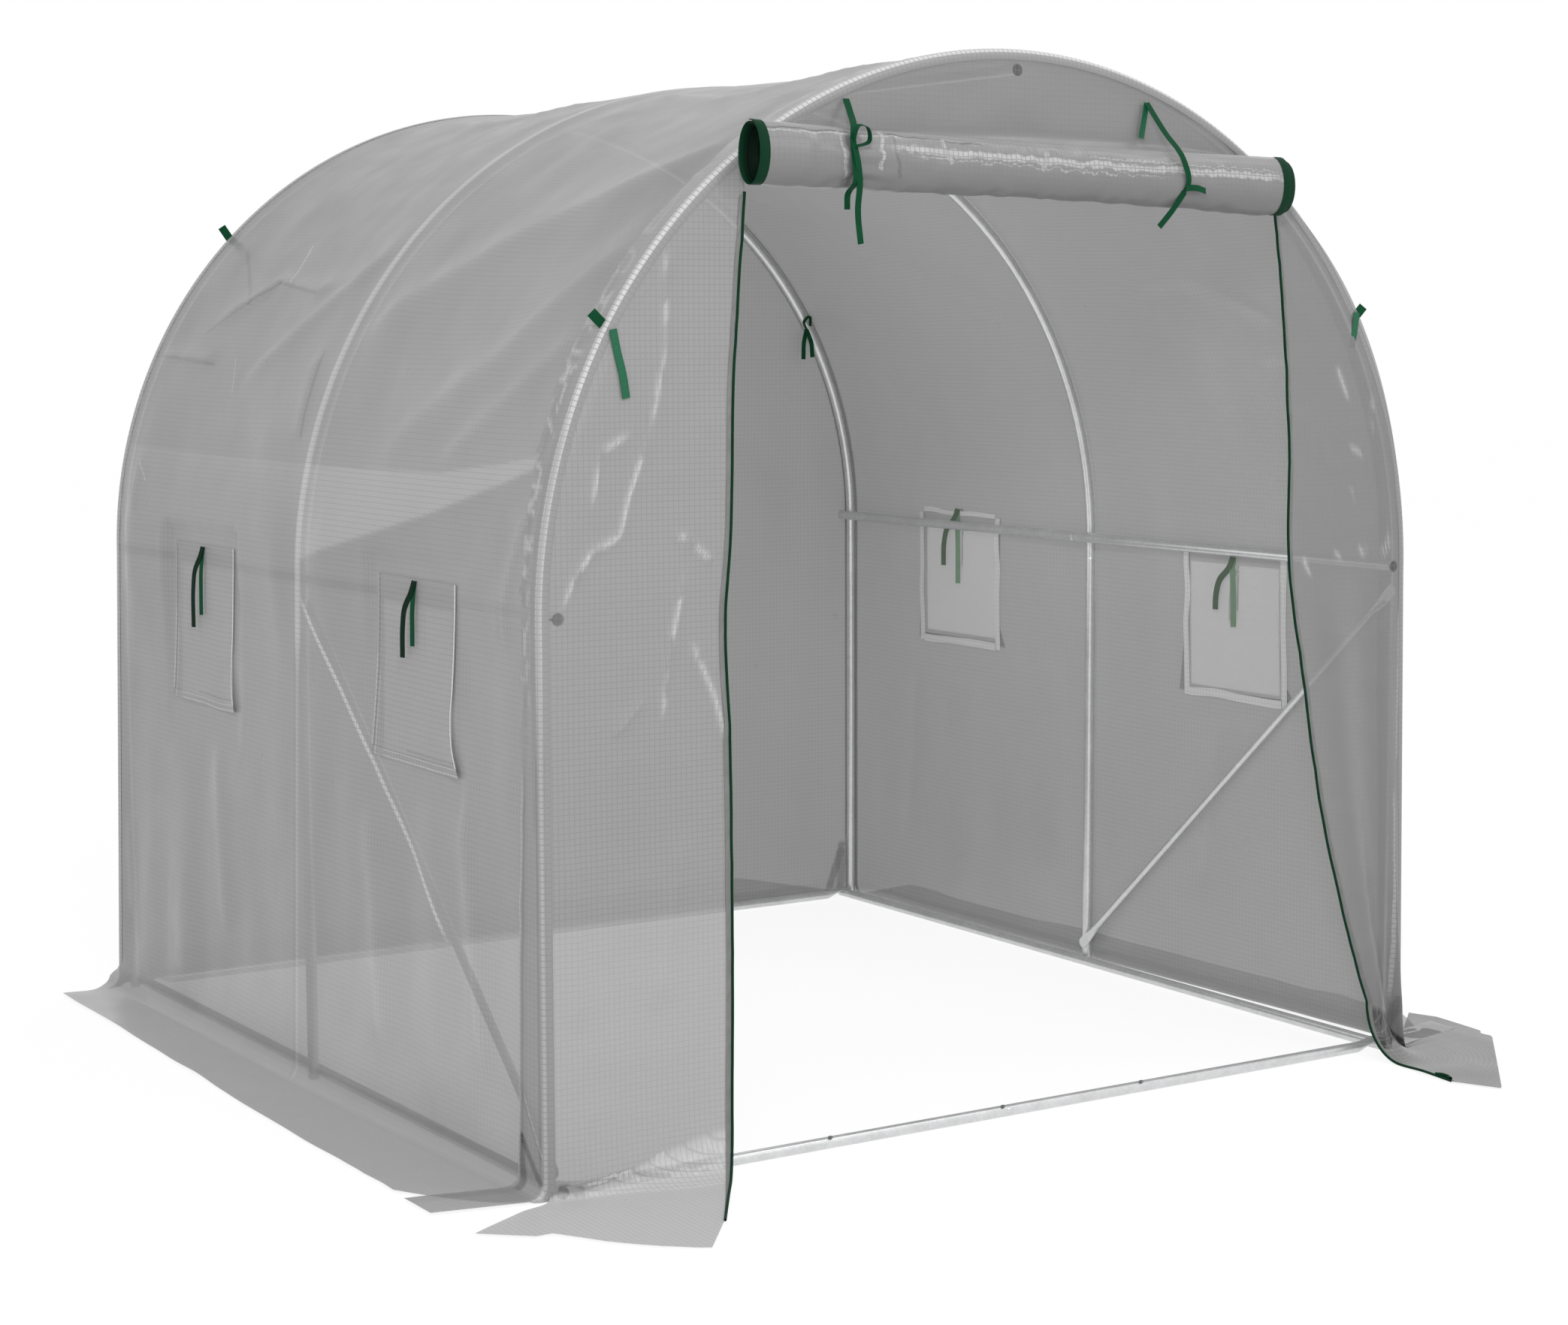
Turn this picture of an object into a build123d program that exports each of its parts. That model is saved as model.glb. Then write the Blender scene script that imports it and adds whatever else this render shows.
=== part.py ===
import os
from math import cos, degrees, pi, radians, sin

from build123d import *

# Overall sizes in millimetres: X is the width, -Y the door end, Z up from the ground
tunnel_width = 2000.0  # over the outside of the hoop tubes
tunnel_length = 2000.0  # between the centres of the front and rear hoops
spring_height = 1000.0  # ground to the start of the half-round arch

# Galvanised tubes of the frame
tube_diameter = 22.0
tube_wall = 0.8
brace_diameter = 16.0
seat_clearance = 0.3  # between curved faces that bear on each other
spigot_length = 30.0  # swaged end that plugs into the next tube
spigot_clearance = 0.2  # radial play of a swaged end in its socket
shoulder_length = 5.0  # taper between a tube and its swaged end
arch_stub = 36.0  # straight lower end of an arch tube, over the leg's swaged end
purlin_rise = 10.0  # side purlins above the spring of the arch
purlin_joint = 30.0  # joint of a purlin or side rail behind the mid hoop
flare_length = 45.0  # from the round tube to its flattened end
brace_tongue = 24.0  # flattened end of a brace, from its bolt to the flare
brace_top_drop = 52.0  # upper brace bolt below the purlin
brace_foot_rise = 50.0  # lower brace bolt above the ground
oval_share = 1.5  # thickness where a flare meets the flat end, as a share of the flat end
tip_share = 0.45  # corner radius of a flat end, as a share of its width

# Film cover
film = 1.0  # thickness of the cover, reinforced film and its coatings
side_skirt = 200.0  # strip of cover that lies on the ground beside the walls
end_skirt = 340.0  # the same at the front and the rear
skirt_notch = 60.0  # slit corner between two skirts
header_drop = 200.0  # film over the doorway, from the crown to its lower edge
left_panel = 379.0  # front film from the left wall to the left zip
right_panel = 379.0  # the same on the right, at the header
waist_panel = 325.0  # the same where the right panel starts to swing aside
waist_rise = 50.0  # that place above the spring of the arch
foot_panel = 71.0  # the same at the ground, with the panel pulled aside
zip_width = 16.0
zip_thickness = 2.0

# Windows: a net in a cut-out, and a hemmed flap that hangs over it outside
window_width = 290.0
window_height = 280.0
window_offset = 510.0  # middle of a window from the middle of the wall
window_margin = 20.0  # wall between a window and the spring of the arch
flap_overlap = 20.0  # flap past the cut-out on each side

# Door film, rolled up and tied under the header
roll_height = 118.0
roll_depth = 74.0
roll_drop = 11.0  # middle of the roll under the header's edge
roll_overhang = 14.0  # roll past the zips at each end
roll_layer = 4.0  # one layer of the wound film with its slack
roll_core = 10.0  # half the depth of the innermost turn
roll_turns = 3

# Ties of woven tape
tape_width = 12.0
tape = 1.0
door_tie_offset = 355.0  # from the middle
door_tie_shift = 35.0  # both ties sit a little to the left
door_tie_tail = 65.0
window_tie_tail = 130.0
hoop_tail = 90.0  # loose end of a tie at a hoop
hoop_tie_angle = 32.0  # degrees above the spring line
hoop_tie_wrap = 120.0  # degrees of the tube that the tape goes round

# Places and fits that follow from the sizes above
tube_radius = tube_diameter / 2
brace_radius = brace_diameter / 2
brace_width = pi * brace_radius  # of its flattened ends
rail_width = pi * tube_radius  # the same for an end rail
hoop_half = tunnel_width / 2 - tube_radius
end_y = tunnel_length / 2
rail_y = end_y + tube_radius - rail_width / 2
brace_y = end_y + tube_radius - brace_width / 2 - seat_clearance
inner_x = hoop_half - tube_diameter - seat_clearance
purlin_z = spring_height + purlin_rise
ridge_z = spring_height + hoop_half - tube_diameter - seat_clearance
film_x = hoop_half + tube_radius + seat_clearance
film_y = end_y + tube_radius + seat_clearance
wall_x = film_x + film
wall_y = film_y + film
crown_z = spring_height + wall_x
header_z = crown_z - header_drop
waist_z = spring_height + waist_rise
door_left = wall_x - left_panel
door_right = wall_x - right_panel
door_waist = wall_x - waist_panel
door_foot = wall_x - foot_panel
roll_z = header_z - roll_drop
overrun = tunnel_width
quarter_turn = 90.0


def ring(outer_radius, wall):
    return Circle(outer_radius) - Circle(outer_radius - wall)


def straight_tube(start, end, diameter, wall):
    axis = Vector(*end) - Vector(*start)
    plane = Plane(origin=start, z_dir=axis)
    return extrude(plane * ring(diameter / 2, wall), amount=axis.length)


# A tube whose far end is swaged down to plug into the next one
def swaged_tube(start, shoulder, diameter, wall):
    axis = Vector(*shoulder) - Vector(*start)
    outer = diameter / 2
    spigot = outer - wall - spigot_clearance
    taper_end = axis.length + shoulder_length
    tip = taper_end + spigot_length
    outline = Polyline(
        (outer - wall, 0),
        (outer, 0),
        (outer, axis.length),
        (spigot, taper_end),
        (spigot, tip),
        (spigot - wall, tip),
        (spigot - wall, taper_end),
        (outer - wall, axis.length),
        close=True,
    )
    turned = revolve(Plane.XZ * make_face(outline), axis=Axis.Z)
    return Plane(origin=start, z_dir=axis) * turned


# Round tube pressed flat: a solid flare from the tube's end to an oval, a little fuller than the flat end
def flare(plane, diameter, thickness, offset):
    flat = Plane(plane.origin + plane.z_dir * flare_length + plane.x_dir * offset, plane.x_dir, plane.z_dir)
    oval = Ellipse(thickness * oval_share / 2, pi * diameter / 4)
    return loft([plane * Circle(diameter / 2), flat * oval])


# Flat end with a rounded tip, along the local X of its plane
def tongue(plane, length, width, thickness):
    outline = Pos(length / 2, 0) * Rectangle(length, width)
    tip = outline.vertices().group_by(Axis.X)[-1]
    outline = fillet(tip, width * tip_share)
    return extrude(plane * outline, amount=thickness / 2, both=True)


def leg(side, y):
    foot = (side * hoop_half, y, 0)
    shoulder = (side * hoop_half, y, spring_height - arch_stub - shoulder_length)
    return swaged_tube(foot, shoulder, tube_diameter, tube_wall)


# Both quarter arches of a hoop; the right one plugs into the left one behind the ridge purlin
def arch(y):
    turn = Axis((0, y, spring_height), (0, 1, 0))
    spigot_angle = degrees(spigot_length / hoop_half)
    joint_angle = degrees(seat_clearance / hoop_half)
    halves = []
    for side in (-1, 1):
        base = Plane((side * hoop_half, y, spring_height), z_dir=(0, 0, 1))
        stub = extrude(base * ring(tube_radius, tube_wall), amount=-arch_stub)
        sweep_angle = quarter_turn if side > 0 else quarter_turn - joint_angle
        bow = revolve(base * ring(tube_radius, tube_wall), axis=turn, revolution_arc=-side * sweep_angle)
        halves.append(stub + bow)
    top = Plane((0, y, spring_height + hoop_half), z_dir=(1, 0, 0))
    spigot_radius = tube_radius - tube_wall - spigot_clearance
    spigot = revolve(
        top * ring(spigot_radius, tube_wall + spigot_clearance),
        axis=turn,
        revolution_arc=-spigot_angle,
    )
    collar = revolve(
        top * ring(tube_radius - tube_wall / 2, 2 * tube_wall + spigot_clearance),
        axis=turn,
        revolution_arc=spigot_angle,
    )
    return [halves[0], halves[1] + spigot + collar]


# Front and rear lengths of a purlin or side rail, joined just behind the mid hoop
def long_pair(x, z):
    end = end_y + tube_radius
    front = straight_tube((x, -end, z), (x, purlin_joint, z), tube_diameter, tube_wall)
    shoulder = (x, purlin_joint + shoulder_length, z)
    rear = swaged_tube((x, end, z), shoulder, tube_diameter, tube_wall)
    return front, rear


# Left and right lengths of an end rail: flattened ends lie on the side rails, joined in the middle
def end_rails(y):
    thickness = 2 * tube_wall
    flare_start = inner_x - tube_radius - flare_length
    lift = tube_radius + thickness / 2 + seat_clearance
    rails = []
    for side in (-1, 1):
        out = (side, 0, 0)
        neck = Plane((side * flare_start, y, tube_radius), x_dir=(0, 0, 1), z_dir=out)
        seat = (side * (inner_x - tube_radius), y, tube_radius + lift)
        end = tongue(Plane(seat, x_dir=out, z_dir=(0, 0, 1)), tube_diameter, rail_width, thickness)
        if side < 0:
            tube = straight_tube(neck.origin, (0, y, tube_radius), tube_diameter, tube_wall)
        else:
            tube = swaged_tube(neck.origin, (shoulder_length, y, tube_radius), tube_diameter, tube_wall)
        rails.append(tube + flare(neck, tube_diameter, thickness, lift) + end)
    return rails


# Diagonal brace in a front bay, with flattened ends on the inner faces of the hoops
def brace(side, foot_y, top_y):
    thickness = 2 * tube_wall
    x = side * (hoop_half - tube_radius - seat_clearance - thickness / 2)
    foot = Vector(x, foot_y, brace_foot_rise)
    top = Vector(x, top_y, purlin_z - brace_top_drop)
    along = (top - foot).normalized()
    neck = brace_tongue + flare_length
    low = Plane(foot + along * neck, x_dir=(1, 0, 0), z_dir=-along)
    high = Plane(top - along * neck, x_dir=(1, 0, 0), z_dir=along)
    rod = straight_tube(low.origin, high.origin, brace_diameter, tube_wall)
    for end, bolt in ((low, foot), (high, top)):
        rod += flare(end, brace_diameter, thickness, 0)
        root = bolt - end.z_dir * brace_tongue
        reach = brace_tongue + brace_width / 2
        rod += tongue(Plane(root, x_dir=end.z_dir, z_dir=(1, 0, 0)), reach, brace_width, thickness)
    return rod


def window_places():
    top = spring_height - window_margin
    return [(y, top - window_height / 2) for y in (-window_offset, window_offset)]


def side_panel(side, y, z, length, height, outer_face, thickness):
    x = side * (outer_face - thickness / 2)
    return Pos(x, y, z) * Box(thickness, length, height)


def side_wall(side):
    wall = side_panel(side, 0, spring_height / 2, 2 * film_y, spring_height, wall_x, film)
    for y, z in window_places():
        wall -= side_panel(side, y, z, window_width, window_height, wall_x, film)
    return wall


def window_screens():
    return [
        side_panel(side, y, z, window_width, window_height, wall_x, film)
        for side in (-1, 1)
        for y, z in window_places()
    ]


def window_flaps():
    length = window_width + 2 * flap_overlap
    height = window_height + flap_overlap + window_margin
    drop = (flap_overlap - window_margin) / 2
    return [
        side_panel(side, y, z - drop, length, height, wall_x + film, film)
        for side in (-1, 1)
        for y, z in window_places()
    ]


# A tape hangs down each flap outside and each net inside, from the sewn top edge
def window_ties():
    tapes = []
    for side in (-1, 1):
        for y, z in window_places():
            low = z + window_height / 2 - window_tie_tail / 2
            outside = wall_x + film + tape
            tapes.append(side_panel(side, y, low, tape_width, window_tie_tail, outside, tape))
            tapes.append(side_panel(side, y, low, tape_width, window_tie_tail, film_x, tape))
    return tapes


def roof_half(side):
    strip = Pos(side * (film_x + film / 2), 0, spring_height) * Rectangle(film, 2 * film_y)
    turn = Axis((0, 0, spring_height), (0, 1, 0))
    return revolve(strip, axis=turn, revolution_arc=-side * quarter_turn)


# Flat end of the tunnel: straight sides under a half-round top
def end_outline():
    top = ThreePointArc((-wall_x, spring_height), (0, crown_z), (wall_x, spring_height))
    rest = Polyline((wall_x, spring_height), (wall_x, 0), (-wall_x, 0), (-wall_x, spring_height))
    return make_face([top, *rest.edges()])


def end_sheet(sketch, inner_face, thickness):
    plane = Plane((0, inner_face, 0), x_dir=(1, 0, 0), z_dir=(0, -1, 0))
    return extrude(plane * sketch, amount=thickness)


def rear_wall():
    return end_sheet(end_outline(), wall_y, film)


# Door edges from the crown down to the ground, in the plane of the front
def right_edge():
    return [(door_right, crown_z), (door_right, header_z), (door_waist, waist_z), (door_foot, 0)]


def left_edge():
    return [(-door_left, crown_z), (-door_left, 0)]


def beyond(edge, side):
    far = side * overrun
    points = [*edge, (far, edge[-1][1]), (far, edge[0][1])]
    return make_face(Polyline(*points, close=True))


def front_panels():
    outline = end_outline()
    left = outline & beyond(left_edge(), -1)
    right = outline & beyond(right_edge(), 1)
    over_door = Pos(0, header_z + overrun / 2) * Rectangle(2 * overrun, overrun)
    top = (outline & over_door) - left - right
    return [end_sheet(sketch, -film_y, film) for sketch in (left, right, top)]


# Zip tape on the outer face of each front panel, along its door edge under the roll
def door_zips():
    top = roll_z - roll_height / 2 - zip_width
    left = Pos(-door_left - zip_width / 2, (top + film) / 2) * Rectangle(zip_width, top - film)
    share = (header_z - top) / (header_z - waist_z)
    start = door_right + (door_waist - door_right) * share
    foot = door_foot - (door_foot - door_waist) * film / waist_z
    edge = [(start, top), (door_waist, waist_z), (foot, film)]
    back = [(x + zip_width, z) for x, z in reversed(edge)]
    right = make_face(Polyline(*edge, *back, close=True))
    return [end_sheet(sketch, -wall_y, zip_thickness) for sketch in (left, right)]


def ground_sheet(points):
    return extrude(make_face(Polyline(*points, close=True)), amount=film)


def side_skirt_sheet(side):
    reach = side * (wall_x + side_skirt)
    return ground_sheet(
        [
            (side * wall_x, -film_y),
            (reach, -film_y + skirt_notch),
            (reach, film_y - skirt_notch),
            (side * wall_x, film_y),
        ]
    )


def rear_skirt():
    reach = wall_y + end_skirt
    return ground_sheet(
        [
            (-wall_x, wall_y),
            (-wall_x + skirt_notch, reach),
            (wall_x - skirt_notch, reach),
            (wall_x, wall_y),
        ]
    )


# Front skirts lie askew: shares of the side skirt and end skirt, at the outer corner, tip and zip end
left_corner_shares = (0.92, 0.26)
left_tip_shares = (0.71, 1.0)
left_zip_shares = (0.47, 0.74)
right_zip_shares = (0.6, 0.85)
right_tip_shares = (0.08, 1.0)
right_corner_shares = (0.9, 0.3)


def front_skirts():
    left = ground_sheet(
        [
            (-wall_x, -wall_y),
            (-wall_x - side_skirt * left_corner_shares[0], -wall_y - end_skirt * left_corner_shares[1]),
            (-door_left - left_panel * left_tip_shares[0], -wall_y - end_skirt * left_tip_shares[1]),
            (-door_left - left_panel * left_zip_shares[0], -wall_y - end_skirt * left_zip_shares[1]),
            (-door_left, -wall_y),
        ]
    )
    right = ground_sheet(
        [
            (wall_x, -wall_y),
            (wall_x + side_skirt * right_corner_shares[0], -wall_y - end_skirt * right_corner_shares[1]),
            (door_foot + foot_panel * right_tip_shares[0], -wall_y - end_skirt * right_tip_shares[1]),
            (door_foot - foot_panel * right_zip_shares[0], -wall_y - end_skirt * right_zip_shares[1]),
            (door_foot, -wall_y),
        ]
    )
    return left, right


# Middle of the rolled door and its outer tie, in front of the header
roll_gap = tape + 2 * seat_clearance
roll_y = -wall_y - roll_gap - roll_depth / 2


# Wound film: flattened turns, each of two flat sides and two half circles, one layer inside the other
def rolled_door():
    flat = (roll_height - roll_depth) / 2
    pitch = (roll_depth / 2 - roll_core) / roll_turns

    def winding(inset):
        edges = []
        for turn in range(roll_turns):
            here = roll_depth / 2 - pitch * turn - inset
            inside = here - pitch
            under = ThreePointArc((here, -flat), (0, -flat - here), (-here, -flat))
            over = ThreePointArc((-here, flat), (-pitch / 2, flat + here - pitch / 2), (inside, flat))
            edges += [under, Line(under @ 1, over @ 0), over, Line(over @ 1, (inside, -flat))]
        return edges[:-1]

    outer = winding(0)
    inner = winding(roll_layer)
    closing = [Line(outer[0] @ 0, inner[0] @ 0), Line(outer[-1] @ 1, inner[-1] @ 1)]
    wound = make_face([*outer, *inner, *closing])
    length = door_left + door_right + 2 * roll_overhang
    start = (-door_left - roll_overhang, roll_y, roll_z)
    return extrude(Plane(start, x_dir=(0, 1, 0), z_dir=(1, 0, 0)) * wound, amount=length)


# Each tie goes once round the roll, and its loose tail hangs down in front
def door_ties():
    ties = []
    inside = 2 * seat_clearance
    outside = inside + 2 * tape
    loop = SlotOverall(roll_height + outside, roll_depth + outside, rotation=quarter_turn)
    loop -= SlotOverall(roll_height + inside, roll_depth + inside, rotation=quarter_turn)
    low = roll_z - roll_height / 2 - seat_clearance - tape
    for side in (-1, 1):
        x = side * door_tie_offset - door_tie_shift
        plane = Plane((x, roll_y, roll_z), x_dir=(0, 1, 0), z_dir=(1, 0, 0))
        band = extrude(plane * loop, amount=tape_width / 2, both=True)
        tail = Pos(x, roll_y, low - door_tie_tail / 2 + tape) * Box(tape_width, tape, door_tie_tail)
        ties.append(band + tail)
    return ties


# Tape round the inner side of an end hoop, with a tail that hangs inside the tunnel
def hoop_ties():
    ties = []
    inner = tube_radius + seat_clearance
    outer = inner + tape
    wrap = radians(hoop_tie_wrap) / 2
    for y in (-end_y, end_y):
        for side in (-1, 1):
            out = Vector(side * cos(radians(hoop_tie_angle)), 0, sin(radians(hoop_tie_angle)))
            centre = Vector(0, y, spring_height) + out * hoop_half
            along = Vector(-out.Z, 0, out.X)
            plane = Plane(centre, x_dir=-out, z_dir=along)
            sector = make_face(
                [
                    CenterArc((0, 0), outer, -hoop_tie_wrap / 2, hoop_tie_wrap),
                    Line((outer * cos(wrap), outer * sin(wrap)), (inner * cos(wrap), inner * sin(wrap))),
                    CenterArc((0, 0), inner, -hoop_tie_wrap / 2, hoop_tie_wrap),
                    Line((inner * cos(wrap), -inner * sin(wrap)), (outer * cos(wrap), -outer * sin(wrap))),
                ]
            )
            band = extrude(plane * sector, amount=tape_width / 2, both=True)
            hang = centre - out * (inner + tape / 2)
            tail = Pos(hang.X, hang.Y, hang.Z - hoop_tail / 2) * Box(tape, tape_width, hoop_tail)
            ties.append(band + tail)
    return ties


def save(name, *solids):
    shapes = [solid for item in solids for solid in (item if isinstance(item, (list, tuple)) else [item])]
    bodies = [body for shape in shapes for body in shape.solids()]
    node = bodies[0] if len(bodies) == 1 else Compound(children=bodies)
    node.label = name
    export_step(node, f"parts/{name}.step")


os.makedirs("parts", exist_ok=True)
sides = {"left": -1, "right": 1}

for hoop, hoop_y in (("front", -end_y), ("mid", 0), ("rear", end_y)):
    for name, side in sides.items():
        save(f"{hoop}_{name}_leg", leg(side, hoop_y))
    save(f"{hoop}_arch", arch(hoop_y))

runs = {
    "left_purlin": (-inner_x, purlin_z),
    "right_purlin": (inner_x, purlin_z),
    "ridge_purlin": (0, ridge_z),
    "left_base_rail": (-inner_x, tube_radius),
    "right_base_rail": (inner_x, tube_radius),
}
for name, place in runs.items():
    front_length, rear_length = long_pair(*place)
    save(f"{name}_front", front_length)
    save(f"{name}_rear", rear_length)

for end, y in (("front", -rail_y), ("rear", rail_y)):
    for name, rail in zip(sides, end_rails(y)):
        save(f"{end}_base_rail_{name}", rail)

save("left_brace", brace(-1, -brace_y, 0))
save("right_brace", brace(1, 0, -brace_y))

for name, side in sides.items():
    save(f"{name}_wall", side_wall(side))
    save(f"{name}_roof", roof_half(side))
    save(f"{name}_skirt", side_skirt_sheet(side))

for name, panel in zip(("front_left_panel", "front_right_panel", "front_top_panel"), front_panels()):
    save(name, panel)
save("rear_wall", rear_wall())
for name, skirt in zip(("front_left_skirt", "front_right_skirt"), front_skirts()):
    save(name, skirt)
save("rear_skirt", rear_skirt())

save("window_screens", window_screens())
save("window_flaps", window_flaps())
save("door_zips", door_zips())
save("rolled_door", rolled_door())
save("door_ties", door_ties())
save("window_ties", window_ties())
save("hoop_ties", hoop_ties())
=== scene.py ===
import math

import bpy
import numpy as np
from mathutils import Euler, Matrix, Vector


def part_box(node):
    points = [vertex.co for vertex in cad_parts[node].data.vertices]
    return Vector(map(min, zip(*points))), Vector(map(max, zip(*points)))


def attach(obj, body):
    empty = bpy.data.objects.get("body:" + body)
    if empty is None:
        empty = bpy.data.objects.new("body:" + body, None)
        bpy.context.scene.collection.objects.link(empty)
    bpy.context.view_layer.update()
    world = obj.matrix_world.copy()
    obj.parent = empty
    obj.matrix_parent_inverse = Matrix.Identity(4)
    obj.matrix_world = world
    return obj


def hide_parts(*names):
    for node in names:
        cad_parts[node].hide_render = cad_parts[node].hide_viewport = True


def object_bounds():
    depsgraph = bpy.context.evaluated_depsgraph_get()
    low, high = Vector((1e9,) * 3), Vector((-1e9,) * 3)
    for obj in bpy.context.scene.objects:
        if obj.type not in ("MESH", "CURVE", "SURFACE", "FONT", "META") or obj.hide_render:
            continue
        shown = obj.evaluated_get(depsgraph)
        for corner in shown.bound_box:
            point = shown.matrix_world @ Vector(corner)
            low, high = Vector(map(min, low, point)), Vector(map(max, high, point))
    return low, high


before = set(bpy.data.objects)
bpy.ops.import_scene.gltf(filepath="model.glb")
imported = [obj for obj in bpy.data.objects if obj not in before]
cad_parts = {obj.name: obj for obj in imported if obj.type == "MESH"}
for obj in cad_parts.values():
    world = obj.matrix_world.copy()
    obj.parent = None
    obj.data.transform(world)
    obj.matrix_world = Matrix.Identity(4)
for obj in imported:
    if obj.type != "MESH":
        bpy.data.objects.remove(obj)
cad_low, cad_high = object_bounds()

# Sizes of the frame that the cover is fitted to, in metres
wall_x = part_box("right_wall")[1].x
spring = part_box("right_wall")[1].z
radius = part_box("right_roof")[1].z - spring
front_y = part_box("front_left_panel")[0].y
rear_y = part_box("rear_wall")[1].y
hoop_ys = [sum(end.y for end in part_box(f"{hoop}_left_leg")) / 2 for hoop in ("front", "mid", "rear")]
bay = hoop_ys[1] - hoop_ys[0]
purlin_low, purlin_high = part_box("right_purlin_front")
purlin_x = (purlin_low.x + purlin_high.x) / 2
purlin_z = (purlin_low.z + purlin_high.z) / 2
tube = (purlin_high.z - purlin_low.z) / 2
hoop_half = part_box("mid_arch")[1].x - tube
ridge_low, ridge_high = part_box("ridge_purlin_front")
ridge_z = (ridge_low.z + ridge_high.z) / 2
roll_low, roll_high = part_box("rolled_door")
header_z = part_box("front_top_panel")[0].z

# Sizes of the cover that the frame doesn't give
ground_gap = 0.0015  # film above the ground
corner = 0.03  # radius of the film where a wall turns out over the ground
film_step = 0.0125  # mesh step of the large sheets
weave_pitch = 0.0106  # reinforcing threads
hem_width = 0.018
tape_width = 0.012
tape_thickness = 0.0011

window_low, window_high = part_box("window_screens")
flap_low, flap_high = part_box("window_flaps")
window_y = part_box("window_ties")[1].y - tape_width / 2
window_half = window_high.y - window_y
flap_half = flap_high.y - window_y
# The four windows: name, side of the tunnel, end of it, and how far its opening, the top of its flap and the
# top of its ties are sewn above their places in the frame
windows = (
    ("left_front", -1, -1, 0.015, 0.045, 0.041),
    ("left_rear", -1, 1, 0.02, 0.045, 0.041),
    ("right_front", 1, -1, 0.0, 0.0, -0.004),
    ("right_rear", 1, 1, 0.035, 0.035, 0.05),
)

# Looks of the film; a tone is how much paler (above 0) or darker (below 0) a place is, mostly as painted
# light and shade
film_colour = (0.44, 0.44, 0.44)
pale_film = (0.9, 0.9, 0.9)  # at a tone of 1
dark_film = (0.03, 0.03, 0.03)  # at a tone of -1
film_alpha = 0.88
left_panel_alpha = 0.85
right_panel_alpha = 0.82
flap_alpha = 0.72
thread_share = 0.16  # half width of a thread, as a share of the pitch
thread_show = 0.42  # how much of the threads' own colour shows
# Painted light on the front left skirt, and painted shade, nearly black, on the front right skirt
left_skirt_painted_light = 0.36
right_skirt_painted_shade = -0.95
# Painted shade over the doorway's header film
header_painted_shade = -0.25
flap_tone = 0.16
flap_hem_tone = 0.2

# Camera of the photograph: its place, its turn in degrees and its focal length
camera_place = (-3.3471, -5.4289, 1.5074)
camera_turn = (83.48, 0.172, -32.723)
image_width = 2087
focal_pixels = 3953.2


# Noise and folds, worked out on the flat sheet
def smooth(t):
    """From 0 to 1 as t does, level at both ends."""
    t = np.clip(t, 0, 1)
    return t * t * (3 - 2 * t)


def soft_noise(u, v, cell, seed):
    """Smooth noise from -1 to 1, with bumps about as large as the cell (along u, along v)."""
    table = np.random.default_rng(seed).uniform(-1, 1, (64, 64))
    a, b = np.asarray(u) / cell[0], np.asarray(v) / cell[1]
    i, j = np.floor(a).astype(int), np.floor(b).astype(int)
    s, t = smooth(a - i), smooth(b - j)
    near = table[i % 64, j % 64] * (1 - s) + table[(i + 1) % 64, j % 64] * s
    far = table[i % 64, (j + 1) % 64] * (1 - s) + table[(i + 1) % 64, (j + 1) % 64] * s
    return near * (1 - t) + far * t


def crumple(u, v, cell, seed):
    """Sharp creases between flat facets, from 0 to 1."""
    return 1 - np.abs(soft_noise(u, v, cell, seed) + 0.5 * soft_noise(v, u, cell, seed + 1)) / 1.5


def crease(u, v, points, width, height):
    """A ridge of film along a broken line, tapering at its two ends."""
    points = np.array(points, float)
    steps = np.hypot(*np.diff(points, axis=0).T)
    marks = np.concatenate([[0], np.cumsum(steps)]) / steps.sum()
    lift = np.zeros(np.broadcast(u, v).shape)
    for (a, b), step, mark, share in zip(zip(points, points[1:]), steps, marks, steps / steps.sum()):
        along = (b - a) / step
        t = np.clip((u - a[0]) * along[0] + (v - a[1]) * along[1], 0, step)
        away = np.hypot(u - a[0] - along[0] * t, v - a[1] - along[1] * t)
        place = mark + share * t / step
        taper = smooth(np.minimum(place, 1 - place) / 0.2 + 0.15)
        lift = np.maximum(lift, taper * np.exp(-((away / width) ** 1.25)))
    return height * lift


def curve_through(knots):
    """A smooth function of one value through given (value, result) knots."""
    knots = sorted(knots)
    heights, places = np.array(knots).T
    slopes = np.gradient(places, heights)

    def at(value):
        value = np.asarray(value, float)
        k = np.clip(np.searchsorted(heights, value) - 1, 0, len(heights) - 2)
        span = heights[k + 1] - heights[k]
        t = np.clip((value - heights[k]) / span, 0, 1)
        a = (2 * t**3 - 3 * t**2 + 1) * places[k] + (t**3 - 2 * t**2 + t) * span * slopes[k]
        return a + (-2 * t**3 + 3 * t**2) * places[k + 1] + (t**3 - t**2) * span * slopes[k + 1]

    return at


def unit(vectors):
    """The same directions, each of length 1."""
    return vectors / np.linalg.norm(vectors, axis=-1, keepdims=True)


def lengths(line):
    """Lengths along a line of points, from its start."""
    return np.concatenate([[0], np.cumsum(np.linalg.norm(np.diff(line, axis=0), axis=1))])


def smooth_line(knots, step):
    """Places at even steps along a smooth line through the knots."""
    knots = np.array(knots, float)
    marks = lengths(knots)
    places = np.linspace(0, marks[-1], max(int(marks[-1] / step), 4) + 1)
    return np.stack([curve_through(list(zip(marks, knots[:, k])))(places) for k in range(3)], -1)


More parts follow.
